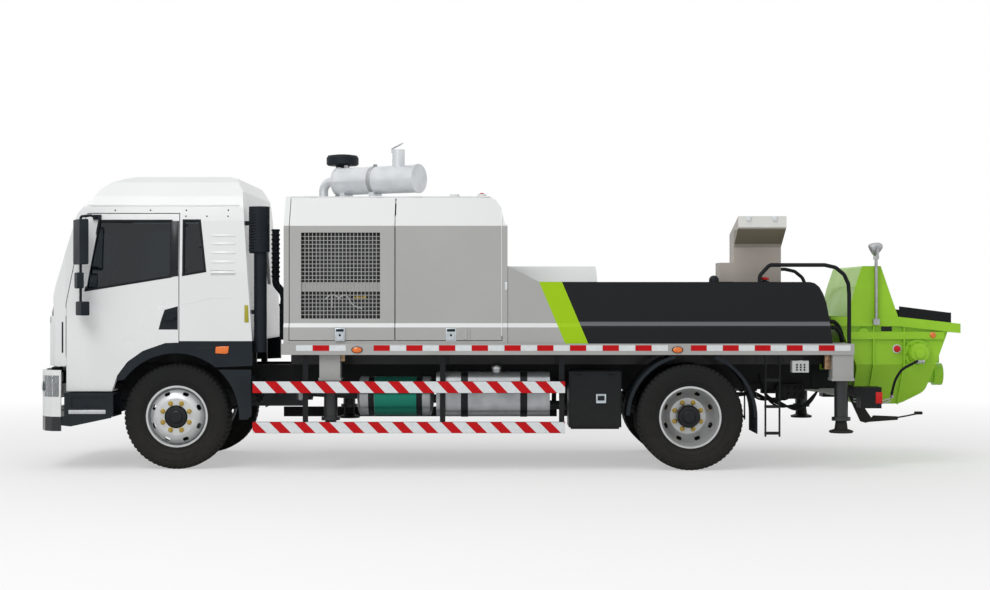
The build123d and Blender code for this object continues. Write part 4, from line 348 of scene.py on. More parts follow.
def roundEdges(piece, width, steps=2, angle=30):
    startFresh(piece)
    soften = piece.modifiers.new("soften", "BEVEL")
    soften.width, soften.segments, soften.limit_method = width / 1000, steps, "ANGLE"
    soften.angle_limit = math.radians(angle)
    bpy.ops.object.modifier_apply(modifier=soften.name)


def addBlock(name, low, high, bevel=0.0, steps=2):
    startFresh()
    corner, far = spot(*low), spot(*high)
    bpy.ops.mesh.primitive_cube_add(size=1, location=(corner + far) / 2)
    piece = bpy.context.object
    piece.name = name
    piece.scale = [abs(b - a) for a, b in zip(corner, far)]
    applyPlace(piece)
    if bevel:
        roundEdges(piece, bevel, steps)
    return piece


def turnTo(piece, centre, axis):
    piece.rotation_euler = {"x": (0, math.pi / 2, 0), "y": (-math.pi / 2, 0, 0), "z": (0, 0, 0)}[axis]
    piece.location = spot(*centre)
    applyPlace(piece)


def addLathe(name, centre, axis, rings, sides=48, closed=False):
    startFresh()
    radius, height = rings[0]  # each ring is (radius, distance along the axis)
    bpy.ops.mesh.primitive_circle_add(vertices=sides, radius=radius / 1000, location=(0, 0, height / 1000))
    piece = bpy.context.object
    piece.name = name
    applyPlace(piece)
    editAll(piece)
    if not closed:
        bpy.ops.mesh.edge_face_add()
    for nextRadius, nextHeight in rings[1:]:
        rise = (nextHeight - height) / 1000
        bpy.ops.mesh.extrude_region_move(TRANSFORM_OT_translate={"value": (0, 0, rise)})
        share = nextRadius / radius
        bpy.ops.transform.resize(value=(share, share, 1), center_override=(0, 0, nextHeight / 1000))
        radius, height = nextRadius, nextHeight
    if closed:
        bpy.ops.mesh.select_mode(type="EDGE")
        bpy.ops.mesh.select_all(action="DESELECT")
        bpy.ops.mesh.select_non_manifold()
        bpy.ops.mesh.bridge_edge_loops()
    bpy.ops.object.mode_set(mode="OBJECT")
    turnTo(piece, centre, axis)
    return piece


def addPlate(name, outline, side, surface, thick, bevel=0.0):
    startFresh()
    bpy.ops.mesh.primitive_circle_add(vertices=len(outline), radius=1, fill_type="NGON", location=(0, 0, 0))
    piece = bpy.context.object
    piece.name = name
    for vertex, (x, z) in zip(piece.data.vertices, outline):
        vertex.co = spot(x, side * surface, z)
    editAll(piece)
    bpy.ops.mesh.extrude_region_move(TRANSFORM_OT_translate={"value": (0, side * thick / 1000, 0)})
    bpy.ops.object.mode_set(mode="OBJECT")
    if bevel:
        roundEdges(piece, bevel, 2)
    return piece


def addPipe(name, points, radius):
    startFresh()
    bpy.ops.curve.primitive_nurbs_path_add(location=(0, 0, 0))
    piece = bpy.context.object
    piece.name = name
    line = piece.data.splines[0]
    line.points.add(max(0, len(points) - len(line.points)))
    places = [spot(*p) for p in points] + [spot(*points[-1])] * (len(line.points) - len(points))
    for point, place in zip(line.points, places):
        point.co = (*place, 1)
    line.order_u, line.use_endpoint_u, line.resolution_u = 3, True, 6
    piece.data.bevel_depth, piece.data.bevel_resolution = radius / 1000, 3
    piece.data.use_fill_caps = True
    bpy.ops.object.convert(target="MESH")
    piece = bpy.context.object
    editAll(piece)
    bpy.ops.mesh.remove_doubles(threshold=0.0002)
    bpy.ops.object.mode_set(mode="OBJECT")
    return piece


def movedCopy(piece, name, shift=(0, 0, 0), turn=0.0, about=None, flip=False):
    startFresh(piece)
    bpy.ops.object.duplicate()
    twin = bpy.context.object
    twin.name = name
    if flip:
        twin.scale = (1, -1, 1)
        applyPlace(twin)
        editAll(twin)
        bpy.ops.mesh.normals_make_consistent(inside=False)
        bpy.ops.object.mode_set(mode="OBJECT")
    if turn:
        editAll(twin)  # turned about the truck's cross axis
        bpy.ops.transform.rotate(value=turn, orient_axis="Y", center_override=spot(*about))
        bpy.ops.object.mode_set(mode="OBJECT")
    twin.location = [s / 1000 for s in shift]
    applyPlace(twin)
    return twin


def joinPieces(name, pieces):
    startFresh(pieces[0])
    for piece in pieces[1:]:
        piece.select_set(True)
    if len(pieces) > 1:
        bpy.ops.object.join()
    bpy.context.object.name = name
    return bpy.context.object


def surfaceAt(nodeName, x, z, side):
    start = spot(x, side * 2000, z)  # where a line of sight from the side meets a solid
    hit, place, _, _ = nodes[nodeName].ray_cast(start, Vector((0, -side, 0)))
    return abs(place.y) * 1000 if hit and place.y * side > 0 else None


def settle(piece, finishName, body, angle=35):
    editAll(piece)
    bpy.ops.mesh.normals_make_consistent(inside=False)
    bpy.ops.object.mode_set(mode="OBJECT")
    bpy.ops.object.shade_smooth_by_angle(angle=math.radians(angle))
    piece.data.materials.clear()
    piece.data.materials.append(finishes[finishName])
    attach(piece, body)
    return piece


def bothSides(build):
    for sideName, side in sideSigns.items():
        build(sideName, side, sideName.capitalize())


# Wheels: road tyres over the plain ones, nuts, valves

wheel = {"axleHeight": 509, "wheelbase": 4950, "frontY": 970, "outerY": 1108, "innerY": 812, "segments": 192,
         "notchDepth": 9, "nutCircle": 137.5, "frontNutY": 1118, "rearNutY": 973}
tyreRings = [(290, 99), (300, 101), (310, 103), (314, 107), (319, 107), (322, 104.5), (334, 111),
             (352, 118.5),
             (356, 121), (362, 121), (365, 119.5), (400, 126.5), (430, 126.8), (434, 124.5), (446, 124),
             (450, 126),
             (462, 122), (478, 117), (486, 114), (500, 107), (507, 100), (509, 92), (509, 56), (499, 53),
             (499, 43),
             (509, 40), (509, 8), (499, 5)]


def buildTyre(name, y):
    rings = tyreRings + [(radius, -along) for radius, along in reversed(tyreRings)]
    tyre = addLathe(name, (0, 0, 0), "z", rings, wheel["segments"], closed=True)
    editAll(tyre)
    bpy.ops.mesh.normals_make_consistent(inside=False)
    place = spot(0, 0, 0)
    step = math.tau / wheel["segments"]

    def isNotch(centre, normal):
        across = centre - place
        reach, along = math.hypot(across.x, across.y), abs(across.z)
        return reach > 0.479 and along > 0.06 and int((math.atan2(across.y,
                                                                  across.x) % math.tau) / step) % 3 == 0

    pickFaces(tyre, isNotch)
    bpy.ops.mesh.extrude_region_shrink_fatten(
        TRANSFORM_OT_shrink_fatten={"value": -wheel["notchDepth"] / 1000})
    bpy.ops.object.mode_set(mode="OBJECT")
    tyre.location = -place
    applyPlace(tyre)
    turnTo(tyre, (0, y, wheel["axleHeight"]), "y")
    return tyre


def buildNuts(name, x, y, side):
    centre = (x, side * y, wheel["axleHeight"])
    nuts = []
    for k in range(8):
        angle = (k + 0.5) * math.tau / 8
        place = (x + wheel["nutCircle"] * math.sin(angle), side * y,
                 centre[2] + wheel["nutCircle"] * math.cos(angle))
        washer = addLathe("washer", place, "y", [(25, -1), (25, 3 * side), (21, 4 * side)], 16)
        nut = addLathe("nut", place, "y",
                       [(20.5, 2 * side), (20.5, 20 * side), (18, 24 * side), (12.5, 24.5 * side),
                                           (12.5, 34 * side), (10, 36.5 * side)], 6)
        nuts += [washer, nut]
    return joinPieces(name, nuts)


tyreMaster = buildTyre("tyreMaster", 0)
for sideName, side in sideSigns.items():
    label = sideName.capitalize()
    front = movedCopy(tyreMaster, "roadTyreFront" + label, (0, side * wheel["frontY"], 0))
    rear = [movedCopy(tyreMaster, "rearTyre", (wheel["wheelbase"], side * y, 0)) for y in (wheel["outerY"],
                                                                                          wheel["innerY"])]
    rear = joinPieces("roadTyresRear" + label, rear)
    settle(front, "treadRubber", "front_wheel_" + sideName, 28)
    settle(rear, "treadRubber", "rear_wheels_" + sideName, 28)
    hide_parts("tyre_front_" + sideName)
    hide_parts("tyres_rear_" + sideName)
    settle(buildNuts("wheelNutsFront" + label, 0, wheel["frontNutY"], side), "yellowZinc",
           "front_wheel_" + sideName)
    settle(buildNuts("wheelNutsRear" + label, wheel["wheelbase"], wheel["rearNutY"], side), "yellowZinc",
           "rear_wheels_" + sideName)
    for body, x, y in (("front_wheel_", 0, 1035), ("rear_wheels_", wheel["wheelbase"], 1050)):
        stem = addPipe("valveStem" + body.split("_")[0].capitalize() + label,
                       [(x + 175, side * (y - 30), 560), (x + 190, side * y, 566),
                        (x + 214, side * (y + 8), 574)], 5)
        settle(stem, "yellowZinc", body + sideName)
bpy.data.objects.remove(tyreMaster)
print("wheels dressed")


# Reflective tape along the deck and the guard rails, side marker lamps

tape = {"low": 1148, "high": 1202, "thick": 1.2, "face": 1245.2, "stripePitch": 235, "stripeWidth": 107,
        "stripeLean": 103, "guardFrom": 755.5, "guardTo": 3747.5}
tapeRuns = ((1171, 3, 159.3, 1), (1913, 18, 156.7, 0),
            (4951, 10, 153.1, 0))  # start, pieces, length, first is white
guardRails = ((743, 857, 640), (360, 468, 679))  # low, high, where the first red piece starts on top


def deckTape(sideName, side, label):
    for colour, parity in (("White", 1), ("Red", 0)):
        lengths = []
        for start, count, length, first in tapeRuns:
            for k in range(count):
                if (k + first) % 2 == parity:
                    x = start + k * length
                    strip = addBlock("strip", (x + 1, side * tape["face"], tape["low"]),
                                     (x + length - 1, side * (tape["face"] + tape["thick"]), tape["high"]))
                    lengths.append(strip)
        piece = joinPieces("deckTape" + colour + label, lengths)
        roundEdges(piece, 0.5, 1)
        settle(piece, "tape" + colour, "chassis")


def guardTape(sideName, side, label):
    face = 1000 * max(abs(v) for v in (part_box("guards")[0][1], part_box("guards")[1][1])) + 0.3
    whites, reds = [], []
    for low, high, start in guardRails:
        whites.append(addBlock("backing", (tape["guardFrom"], side * face, low + 2),
                               (tape["guardTo"], side * (face + 0.8), high - 2)))
        x = start
        while x < tape["guardTo"]:
            lean, width = tape["stripeLean"], tape["stripeWidth"]
            reds.append(addPlate("stripe", [(x, high - 2), (x + width, high - 2), (x + width + lean, low + 2),
                                            (x + lean, low + 2)], side, face + 0.8, 0.6))
            x += tape["stripePitch"]
    red = joinPieces("guardTapeRed" + label, reds)
    for limit, sign in ((tape["guardFrom"], -1), (tape["guardTo"], 1)):
        editAll(red)
        bpy.ops.mesh.bisect(plane_co=spot(limit, 0, 0), plane_no=(sign, 0, 0), use_fill=True,
                            clear_outer=True)
        bpy.ops.object.mode_set(mode="OBJECT")
    settle(red, "tapeRed", "chassis")
    settle(joinPieces("guardTapeWhite" + label, whites), "tapeWhite", "chassis")


def sideMarkers(sideName, side, label):
    lamps = []
    for x, z in ((1756, 1158), (4824, 1158)):
        base = addLathe("markerBase", (x, side * 1245, z), "y", [(34, 0), (34, 6 * side), (31, 8 * side)], 32)
        lens = addLathe("markerLens", (x, side * 1245, z), "y",
                        [(29, 7 * side), (28, 15 * side), (22, 20 * side),
                                                                 (12, 22.5 * side), (2, 23 * side)], 32)
        for part in (base, lens):
            editAll(part)
            bpy.ops.transform.resize(value=(1.6, 1, 0.95), center_override=spot(x, 0, z))
            bpy.ops.object.mode_set(mode="OBJECT")
        settle(base, "mouldedBlack", "chassis")
        base.name = "markerBase" + label + str(len(lamps))
        lens.name = "markerLens" + label + str(len(lamps))
        lamps.append(settle(lens, "lensOrange", "chassis"))


for build in (deckTape, guardTape, sideMarkers):
    bothSides(build)
print("tape and markers done")


# Cab dress: seams, window frames, handle, marker lamps, step strip, snorkel ribs

cab = {"upperRivets": (-592, -250, 95, 501), "lowerRivets": (93, 295, 499), "upperRivetHeight": 2502,
       "lowerRivetHeight": 2444, "rivetRadius": 8, "sealWidth": 22, "pillarFrom": -52, "pillarTo": 27,
       "ribPitch": 27, "ribCount": 15}
doorGlass = [(-752, 2411), (-34, 2411), (-34, 1852), (-880, 1715)]
quarterGlass = [(62, 2414), (238, 2414), (298, 1904), (62, 1864)]
handleBezel = [(-104, 1539), (22, 1575), (22, 1342), (-166, 1342), (-137, 1444)]


def cabSide(z):
    return 1150 if z < 1900 else 1150 - 0.08 * (z - 1900)  # the side leans in above the belt line


def addFrame(name, outline, side, width, thick):
    startFresh()
    bpy.ops.mesh.primitive_circle_add(vertices=len(outline), radius=1, fill_type="NGON", location=(0, 0, 0))
    piece = bpy.context.object
    piece.name = name
    for vertex, (x, z) in zip(piece.data.vertices, outline):
        vertex.co = spot(x, side * (cabSide(z) - 4), z)
    editAll(piece)
    bpy.ops.mesh.inset(thickness=width / 1000)
    bpy.ops.mesh.delete(type="FACE")
    bpy.ops.mesh.select_all(action="SELECT")
    bpy.ops.mesh.extrude_region_move(TRANSFORM_OT_translate={"value": (0, side * (thick + 4) / 1000, 0)})
    bpy.ops.object.mode_set(mode="OBJECT")
    roundEdges(piece, 3, 2)
    return piece


def cabDress(sideName, side, label):
    rivets = []
    for row, height in (("upperRivets", "upperRivetHeight"), ("lowerRivets", "lowerRivetHeight")):
        for x in cab[row]:
            seat = surfaceAt("cab_shell", x, cab[height], side)
            if seat:
                rivets.append(addLathe("rivet", (x, side * (seat - 2), cab[height]), "y", [
                    (cab["rivetRadius"], 0), (cab["rivetRadius"], 3 * side), (6, 6 * side), (2, 7 * side)],
                    12))
    settle(joinPieces("rivets" + label, rivets), "mouldedBlack", "cab")
    lip = addBlock("roofLip" + label, (-850, side * 1078, 2541), (608, side * 1094, 2556), 5)
    settle(lip, "cabEnamel", "cab")
    for name, outline, body in (("doorSeal", doorGlass, "door_" + sideName),
                                ("quarterSeal", quarterGlass, "cab")):
        settle(addFrame(name + label, outline, side, cab["sealWidth"], 3), "sealRubber", body)
    pillar = addPlate("pillarCover" + label, [(cab["pillarFrom"], 2398), (cab["pillarTo"], 2398),
                                              (cab["pillarTo"], 1866), (cab["pillarFrom"], 1855)], side,
                                              1147, 7, 1)
    for vertex in pillar.data.vertices:
        vertex.co.y -= side * max(0, (vertex.co.z - 1.86) * 0.076)
    settle(pillar, "glossBlack", "door_" + sideName)
    bolts = []
    for x, z in ((100, 2358), (232, 2146), (92, 1925)):
        bolts.append(addLathe("bolt", (x, side * (cabSide(z) - 22), z), "y",
                              [(11, 0), (11, 8 * side), (8, 11 * side),
                                                                             (2, 12 * side)], 16))
    settle(joinPieces("quarterBolts" + label, bolts), "mouldedBlack", "cab")
    filler = addPlate("handleSurround" + label,
                      [(-165, 1579), (24, 1579), (24, 1576), (-105, 1540), (-138, 1444),
                                                 (-165, 1347)], side, 1149, 1.8, 0.5)
    settle(filler, "cabEnamel", "door_" + sideName)
    bezel = addPlate("handleBezel" + label, handleBezel, side, 1142, 9, 3)
    editAll(bezel)
    pickFaces(bezel, lambda centre, normal: abs(normal.y) > 0.9 and abs(centre.y) > 1.1505 / 1.0004)
    bpy.ops.mesh.inset(thickness=0.012)
    bpy.ops.transform.translate(value=(0, -side * 0.010, 0))
    bpy.ops.object.mode_set(mode="OBJECT")
    settle(bezel, "glossBlack", "door_" + sideName)
    grip = addBlock("handleGrip" + label, (-86, side * 1146, 1462), (14, side * 1160, 1498), 6, 3)
    settle(grip, "mouldedBlack", "door_" + sideName)
    creases = []
    for x0, z0, x1, z1, body in ((60, 1596, 320, 1656, "cab"), (320, 1656, 560, 1664, "cab")):
        creases.append(addPlate("crease", [(x0, z0), (x1, z1), (x1, z1 - 9), (x0, z0 - 9)], side, 1148, 4,
                                1.4))
    settle(joinPieces("beltCrease" + label, creases), "cabEnamel", "cab")
    doorCrease = addPlate("doorCrease" + label, [(-1040, 1392), (-560, 1448), (-560, 1440), (-1040, 1384)],
                          side, 1146,
                          5, 1.4)
    for vertex in doorCrease.data.vertices:
        vertex.co.y -= side * max(0, (-0.9 - (vertex.co.x - frontAxleX)) * 0.06)
    settle(doorCrease, "cabEnamel", "door_" + sideName)
    marker = addPlate("edgeReflector" + label, [(664, 1587), (700, 1587), (706, 1419), (664, 1419)], side,
                      1149, 4, 1.5)
    settle(marker, "lensYellow", "cab")
    seat = surfaceAt("cab_trims", 300, 1166, side) or 1150
    lamp = addPlate("archLamp" + label, [(388, 1186), (516, 1192), (508, 1124), (478, 1116), (384, 1122)],
                    side,
                    seat - 2, 12, 6)
    settle(lamp, "lensOrange", "cab")
    slot = addPlate("archSlot" + label, [(160, 1178), (372, 1178), (372, 1160), (196, 1150)], side,
                    seat - 1, 3, 1)
    settle(slot, "glossBlack", "cab")
    seat = surfaceAt("fenders", -840, 600, side) or 1190
    strip = addBlock("stepStrip" + label, (-1020, side * (seat - 4), 541), (-664, side * (seat + 3), 579), 2)
    settle(strip, "stepAluminium", "chassis")
    slit = surfaceAt("cab_shell", -1092, 1270, side) or 1120
    gap = addBlock("cornerSlit" + label, (-1103, side * (slit - 12), 1126),
                   (-1084, side * (slit + 4), 1424), 3)
    settle(gap, "mouldedBlack", "cab")
    ribs = []
    for k in range(cab["ribCount"]):
        z = 2470 - k * cab["ribPitch"]
        seat = surfaceAt("cab_trims", 760, z, side)
        if seat:
            ribs.append(addBlock("rib", (700, side * (seat - 3), z - 6), (826, side * (seat + 7), z + 6), 3,
                                 2))
    if ribs:
        settle(joinPieces("snorkelRibs" + label, ribs), "mouldedBlack", "cab")


bothSides(cabDress)
print("cab dressed")


# Power pack hood: latches, roof fittings, hoses behind the grille

hood = {"latchLow": 1243, "latchHigh": 1366, "latches": (("front", 1544, 1638), ("rear", 2606, 2704)),
        "breather": (2674, -380, 2640), "beacon": (2942, -380, 2640)}


def hoodDress(sideName, side, label):
    for end, x0, x1 in hood["latches"]:
        node = "hood_door_" + end + "_" + sideName
        face = surfaceAt(node, (x0 + x1) / 2, 1300, side) or 1225
        plate = addBlock("latchPlate" + end.capitalize() + label, (x0, side * (face - 1), hood["latchLow"]),
                         (x1, side * (face + 4), hood["latchHigh"]), 3)
        body = "hood_lid_" + end + "_" + sideName
        settle(plate, "latchZinc", body)
        pocket = addBlock("latchPocket" + end.capitalize() + label,
                          (x0 + 10, side * (face + 3), hood["latchHigh"] - 34),
                          (x1 - 10, side * (face + 6), hood["latchHigh"] - 8), 2)
        settle(pocket, "mouldedBlack", body)
        paddle = addBlock("latchPaddle" + end.capitalize() + label,
                          (x0 + 14, side * (face + 3), hood["latchLow"] + 12),
                          (x1 - 14, side * (face + 10), hood["latchHigh"] - 42), 4, 3)
        editAll(paddle)
        pickFaces(paddle, lambda centre, normal: normal.y * side > 0.9)
        bpy.ops.mesh.inset(thickness=0.008)
        bpy.ops.transform.translate(value=(0, -side * 0.003, 0))
        bpy.ops.object.mode_set(mode="OBJECT")
        settle(paddle, "latchZinc", body)
        lock = addLathe("latchLock" + end.capitalize() + label, ((x0 + x1) / 2, side * (face + 6), 1298), "y",
                        [(11, 0), (11, 4 * side), (9, 5 * side), (4, 5 * side), (3.5, 2 * side)], 20)
        settle(lock, "mouldedBlack", body)
    hoses = [
        addPipe("hose", [(1440, side * 1132, 1640), (1470, side * 1132, 1676), (1510, side * 1136, 1692),
                         (1560, side * 1134, 1668), (1588, side * 1130, 1640)], 8),
        addPipe("hose", [(1562, side * 1134, 1640), (1600, side * 1136, 1688), (1652, side * 1134, 1680),
                         (1690, side * 1132, 1600), (1750, side * 1130, 1560), (1796, side * 1128, 1556)], 8),
        addPipe("hose", [(1508, side * 1134, 1690), (1505, side * 1134, 1610), (1505, side * 1130, 1560)], 7)]
    settle(joinPieces("coolerHoses" + label, hoses), "paleHose", "chassis")
    valve = addLathe("coolerValve" + label, (1712, side * 1134, 1660), "x", [
        (10, 0), (10, 26), (17, 30), (17, 66), (11, 70), (11, 96), (18, 98), (18, 124), (8, 128)], 20)
    settle(valve, "yellowZinc", "chassis")


bothSides(hoodDress)
breather = addLathe("roofBreather", hood["breather"], "z",
                    [(30, -6), (30, 10), (58, 14), (58, 32), (50, 40), (4, 42)])
settle(breather, "mouldedBlack", "chassis")
beaconBase = addLathe("beaconBase", hood["beacon"], "z", [(58, -6), (58, 16), (52, 20), (52, 30)])
settle(beaconBase, "mouldedBlack", "chassis")
beaconShell = addLathe("beaconShell", hood["beacon"], "z", [(50, 29), (48, 40), (34, 58), (30, 62)])
settle(beaconShell, "tapeWhite", "chassis")
beaconCap = addLathe("beaconCap", hood["beacon"], "z", [(30, 61), (26, 66), (14, 73), (2, 75)])
settle(beaconCap, "lensRed", "chassis")
print("hood dressed")


# Covers and control cabinet

def cabinetDress():
    for number, x in enumerate((5504, 5753)):
        lug = addBlock("canopyLug" + str(number), (x - 22, -1262, 2392), (x + 22, -1240, 2438), 5, 3)
        settle(lug, "tapeWhite", "chassis")
    stem = addLathe("stopButtonBase", (5676, -1120, 1809), "z",
                    [(44, -4), (44, 8), (40, 12), (24, 13), (24, 24)], 32)
    settle(stem, "mouldedBlack", "chassis")
    button = addLathe("stopButton", (5676, -1120, 1809), "z",
                      [(22, 20), (46, 24), (48, 34), (40, 44), (20, 49),
                                                              (2, 50)], 40)
    settle(button, "lensRed", "chassis")
    knob = addLathe("cableBoss", (5192, -1080, 1809), "z",
                    [(48, -4), (48, 20), (44, 38), (32, 54), (16, 62), (2, 64)],
                    32)
    settle(knob, "mouldedBlack", "chassis")


cabinetDress()
print("cabinet dressed")


# Hopper, rear lamps, hydraulic line, outriggers, small fittings below the deck

def hexBolts(name, places, axis, size, out):
    return joinPieces(name, [addLathe("bolt", place, axis, [
        (size * 1.5, 0), (size * 1.5, 2.5 * out), (size, 3 * out), (size, size * 0.75 * out),
        (size * 0.85, size * out)],
        6) for place in places])


def hopperDress(sideName, side, label):
    boss = addLathe("sideBoss" + label, (6712, side * 716, 1305), "y",
                    [(60, 0), (60, 16 * side), (54, 22 * side),
                                                                       (20, 23 * side), (18, 30 * side)], 40)
    settle(boss, "pumpGreen", "chassis")
    plate = addPlate("blankPlate" + label, [(6885, 1374), (6993, 1374), (6993, 1328), (6885, 1328)], side,
                     719.5, 2.5,
                     0.8)
    settle(plate, "glossBlack", "chassis")
    cap = addLathe("greaseCap" + label, (7040, side * 718, 1154), "y",
                   [(34, 0), (34, 30 * side), (30, 36 * side),
                                                                       (12, 40 * side), (2, 41 * side)], 32)
    settle(cap, "lensRed", "chassis")
    collar = addLathe("greaseCollar" + label, (7040, side * 718, 1154), "y",
                      [(44, 0), (44, 12 * side), (36, 14 * side),
                                                                             (36, 20 * side)], 32)
    settle(collar, "tapeWhite", "chassis")
    housing = addLathe("bearingCover" + label, (7240, side * 826, 1112), "y", [
        (92, 0), (92, 16 * side), (84, 24 * side), (50, 26 * side), (46, 44 * side), (30, 48 * side),
        (2, 49 * side)], 48)
    settle(housing, "pumpGreen", "chassis")
    ring = [(7240 + 118 * math.sin(k * math.tau / 8), side * 743, 1112 + 118 * math.cos(k * math.tau / 8))
            for k in range(8)]
    settle(hexBolts("bearingBolts" + label, ring, "y", 12, side), "pumpGreen", "chassis")
    hose = addPipe("pressureLine" + label,
                   [(7215, side * 866, 1040), (7150, side * 872, 1006), (7060, side * 860, 960),
                                            (7000, side * 840, 860), (6985, side * 800, 770),
                                            (6985, side * 740, 700)], 13)
    settle(hose, "flapRubber", "chassis")
    fittings = [
        addLathe("fitting", (7196, side * 858, 1030), "x",
                 [(19, 0), (19, 30), (15, 32), (15, 60), (20, 62), (20, 84)], 6),
        addLathe("fitting", (6985, side * 742, 668), "z", [(14, 0), (19, 2), (19, 28), (15, 30), (15, 66)],
                 6)]
    settle(joinPieces("lineFittings" + label, fittings), "plainSteel", "chassis")
    lens = addBlock("tailLens" + label, (6748, side * 898, 636), (6814, side * 1124, 748), 7, 3)
    editAll(lens)
    pickFaces(lens, lambda centre, normal: normal.x > 0.9)
    bpy.ops.mesh.inset(thickness=0.010)
    bpy.ops.transform.translate(value=(-0.003, 0, 0))
    bpy.ops.object.mode_set(mode="OBJECT")
    settle(lens, "lensRed", "chassis")
    marker = addLathe("hopperMarker" + label, (7388, side * 751, 1290), "y",
                      [(30, 0), (29, 9 * side), (22, 15 * side),
                                                                              (10, 17 * side),
                                                                              (2, 17.5 * side)], 28)
    settle(marker, "lensOrange", "chassis")
    for number, (x0, x1, z0, z1,
                 y) in enumerate(((1587.5, 1630, 1045, 1172, 1120), (6254, 6311.5, 968, 1124, 1120))):
        block = addBlock("legValve" + str(number) + label, (x0, side * (y - 40), z0),
                         (x1, side * (y + 20), z1), 4)
        caps = [addLathe("cap", ((x0 + x1) / 2, side * (y + 19), z), "y",
                         [(13, 0), (13, 10 * side), (8, 14 * side)], 6)
                for z in (z0 + 30, (z0 + z1) / 2, z1 - 30)]
        settle(joinPieces("legValve" + str(number) + label, [block, *caps]), "brassPlate", "chassis")


bothSides(hopperDress)
collarBolts = [(7480, 124 * math.sin(k * math.tau / 8),
                875 + 124 * math.cos(k * math.tau / 8)) for k in range(8)]
settle(hexBolts("outletBolts", collarBolts, "x", 9, 1), "plainSteel", "chassis")
sockets = [addLathe("socket", (5972 + 36 * (k % 3), -1215, 966 + 24 * (k // 3)), "y",
                    [(9, 1), (9, -4), (7, -7), (4, -7), (4, -3)], 16) for k in range(9)]
settle(joinPieces("junctionSockets", sockets), "mouldedBlack", "chassis")
print("hopper and fittings dressed")


# Front of the cab, mirrors, louvres, exhaust straps, breather, lines, latches and towing lever

mirrorHeads = (("Main", 1979, 2399, ((-955, 1262), (-890, 1240), (-776, 1420), (-850, 1450))),
               ("Wide", 1750, 1893, ((-943, 1268), (-888, 1250), (-823, 1410), (-878, 1434))),
               ("Kerb", 1493, 1617, ((-932, 1262), (-868, 1245), (-772, 1400), (-842, 1424))))
mirrorReach = 1442  # as far out as the plain mirror heads
front = {"louvreX": (340, 575), "louvreHeights": (2275, 2195, 2109, 2019, 1917), "louvreHeight": 26,
         "wiperFoot": 1500,
         "slatLow": 1080, "slatPitch": 62, "slatCount": 4, "slatHalf": 520, "plateHalf": 230}
muffler = {"centre": (1904, -450, 2836), "radius": 138, "turn": math.radians(30), "straps": (-390, -36)}


def addUpright(name, outline, side, low, high, grow, bevel):
    startFresh()
    bpy.ops.mesh.primitive_circle_add(vertices=len(outline), radius=1, fill_type="NGON", location=(0, 0, 0))
    piece = bpy.context.object
    piece.name = name
    middle = [sum(values) / len(outline) for values in zip(*outline)]
    for vertex, (x, y) in zip(piece.data.vertices, outline):
        away = Vector((x - middle[0], y - middle[1])).normalized() * grow
        vertex.co = spot(x + away.x, side * (y + away.y), low)
    editAll(piece)
    bpy.ops.mesh.extrude_region_move(TRANSFORM_OT_translate={"value": (0, 0, (high - low) / 1000)})
    bpy.ops.object.mode_set(mode="OBJECT")
    roundEdges(piece, bevel, 4)
    return piece


def frontAt(nodeName, y, z):
    hit, place, _, _ = nodes[nodeName].ray_cast(spot(-3000, y, z), Vector((1, 0, 0)))
    return (place.x - frontAxleX) * 1000 if hit else None


def addBand(name, nodeName, halfWidth, low, high, proud, middle=0, bevel=2):
    startFresh()
    bpy.ops.mesh.primitive_grid_add(x_subdivisions=14, y_subdivisions=2, size=2, location=(0, 0, 0))
    piece = bpy.context.object
    piece.name = name
    for vertex in piece.data.vertices:
        y, z = middle + vertex.co.x * halfWidth, (low + high) / 2 + vertex.co.y * (high - low) / 2
        vertex.co = spot((frontAt(nodeName, y, z) or -1330) - proud, y, z)
    editAll(piece)
    bpy.ops.mesh.extrude_region_move(TRANSFORM_OT_translate={"value": ((proud + 3) / 1000, 0, 0)})
    bpy.ops.object.mode_set(mode="OBJECT")
    roundEdges(piece, bevel, 2)
    return piece


def cabFront():
    slats = [addBand("slat", "cab_shell", front["slatHalf"], front["slatLow"] + k * front["slatPitch"],
                     front["slatLow"] + k * front["slatPitch"] + 34, 7) for k in range(front["slatCount"])]
    settle(joinPieces("grilleSlats", slats), "mouldedBlack", "cab")
    settle(addBand("screenCowl", "cab_shell", 930, 1415, 1470, 5), "mouldedBlack", "cab")
    settle(addBand("blankPlate", "cab_shell", front["plateHalf"], 966, 1062, 6, 0, 1.5), "latchZinc", "cab")
    for number, (footY, tipY) in enumerate(((-760, -150), (150, 760))):
        footX = frontAt("cab_glass", footY, front["wiperFoot"]) or -1250
        points = []
        for k in range(5):
            share = k / 4
            y = footY + (tipY - footY) * share
            z = front["wiperFoot"] + 20 + (1640 - front["wiperFoot"]) * share * 0.6
            points.append(((frontAt("cab_glass", y, z) or footX) - 14, y, z))
        blade = [((frontAt("cab_glass", tipY + d, points[-1][2] + d * 0.14) or footX) - 9, tipY + d,
                  points[-1][2] + d * 0.14) for d in (-420, -210, 0, 210, 330) if abs(tipY + d) < 960]
        foot = addLathe("foot", (footX + 4, footY, front["wiperFoot"] - 14), "x",
                        [(24, 0), (24, -20), (18, -26),
                                                                                  (2, -27)], 24)
        parts = [foot, addPipe("arm", points, 7), addPipe("blade", blade, 6)]
        settle(joinPieces("wiper" + str(number), parts), "mouldedBlack", "cab")


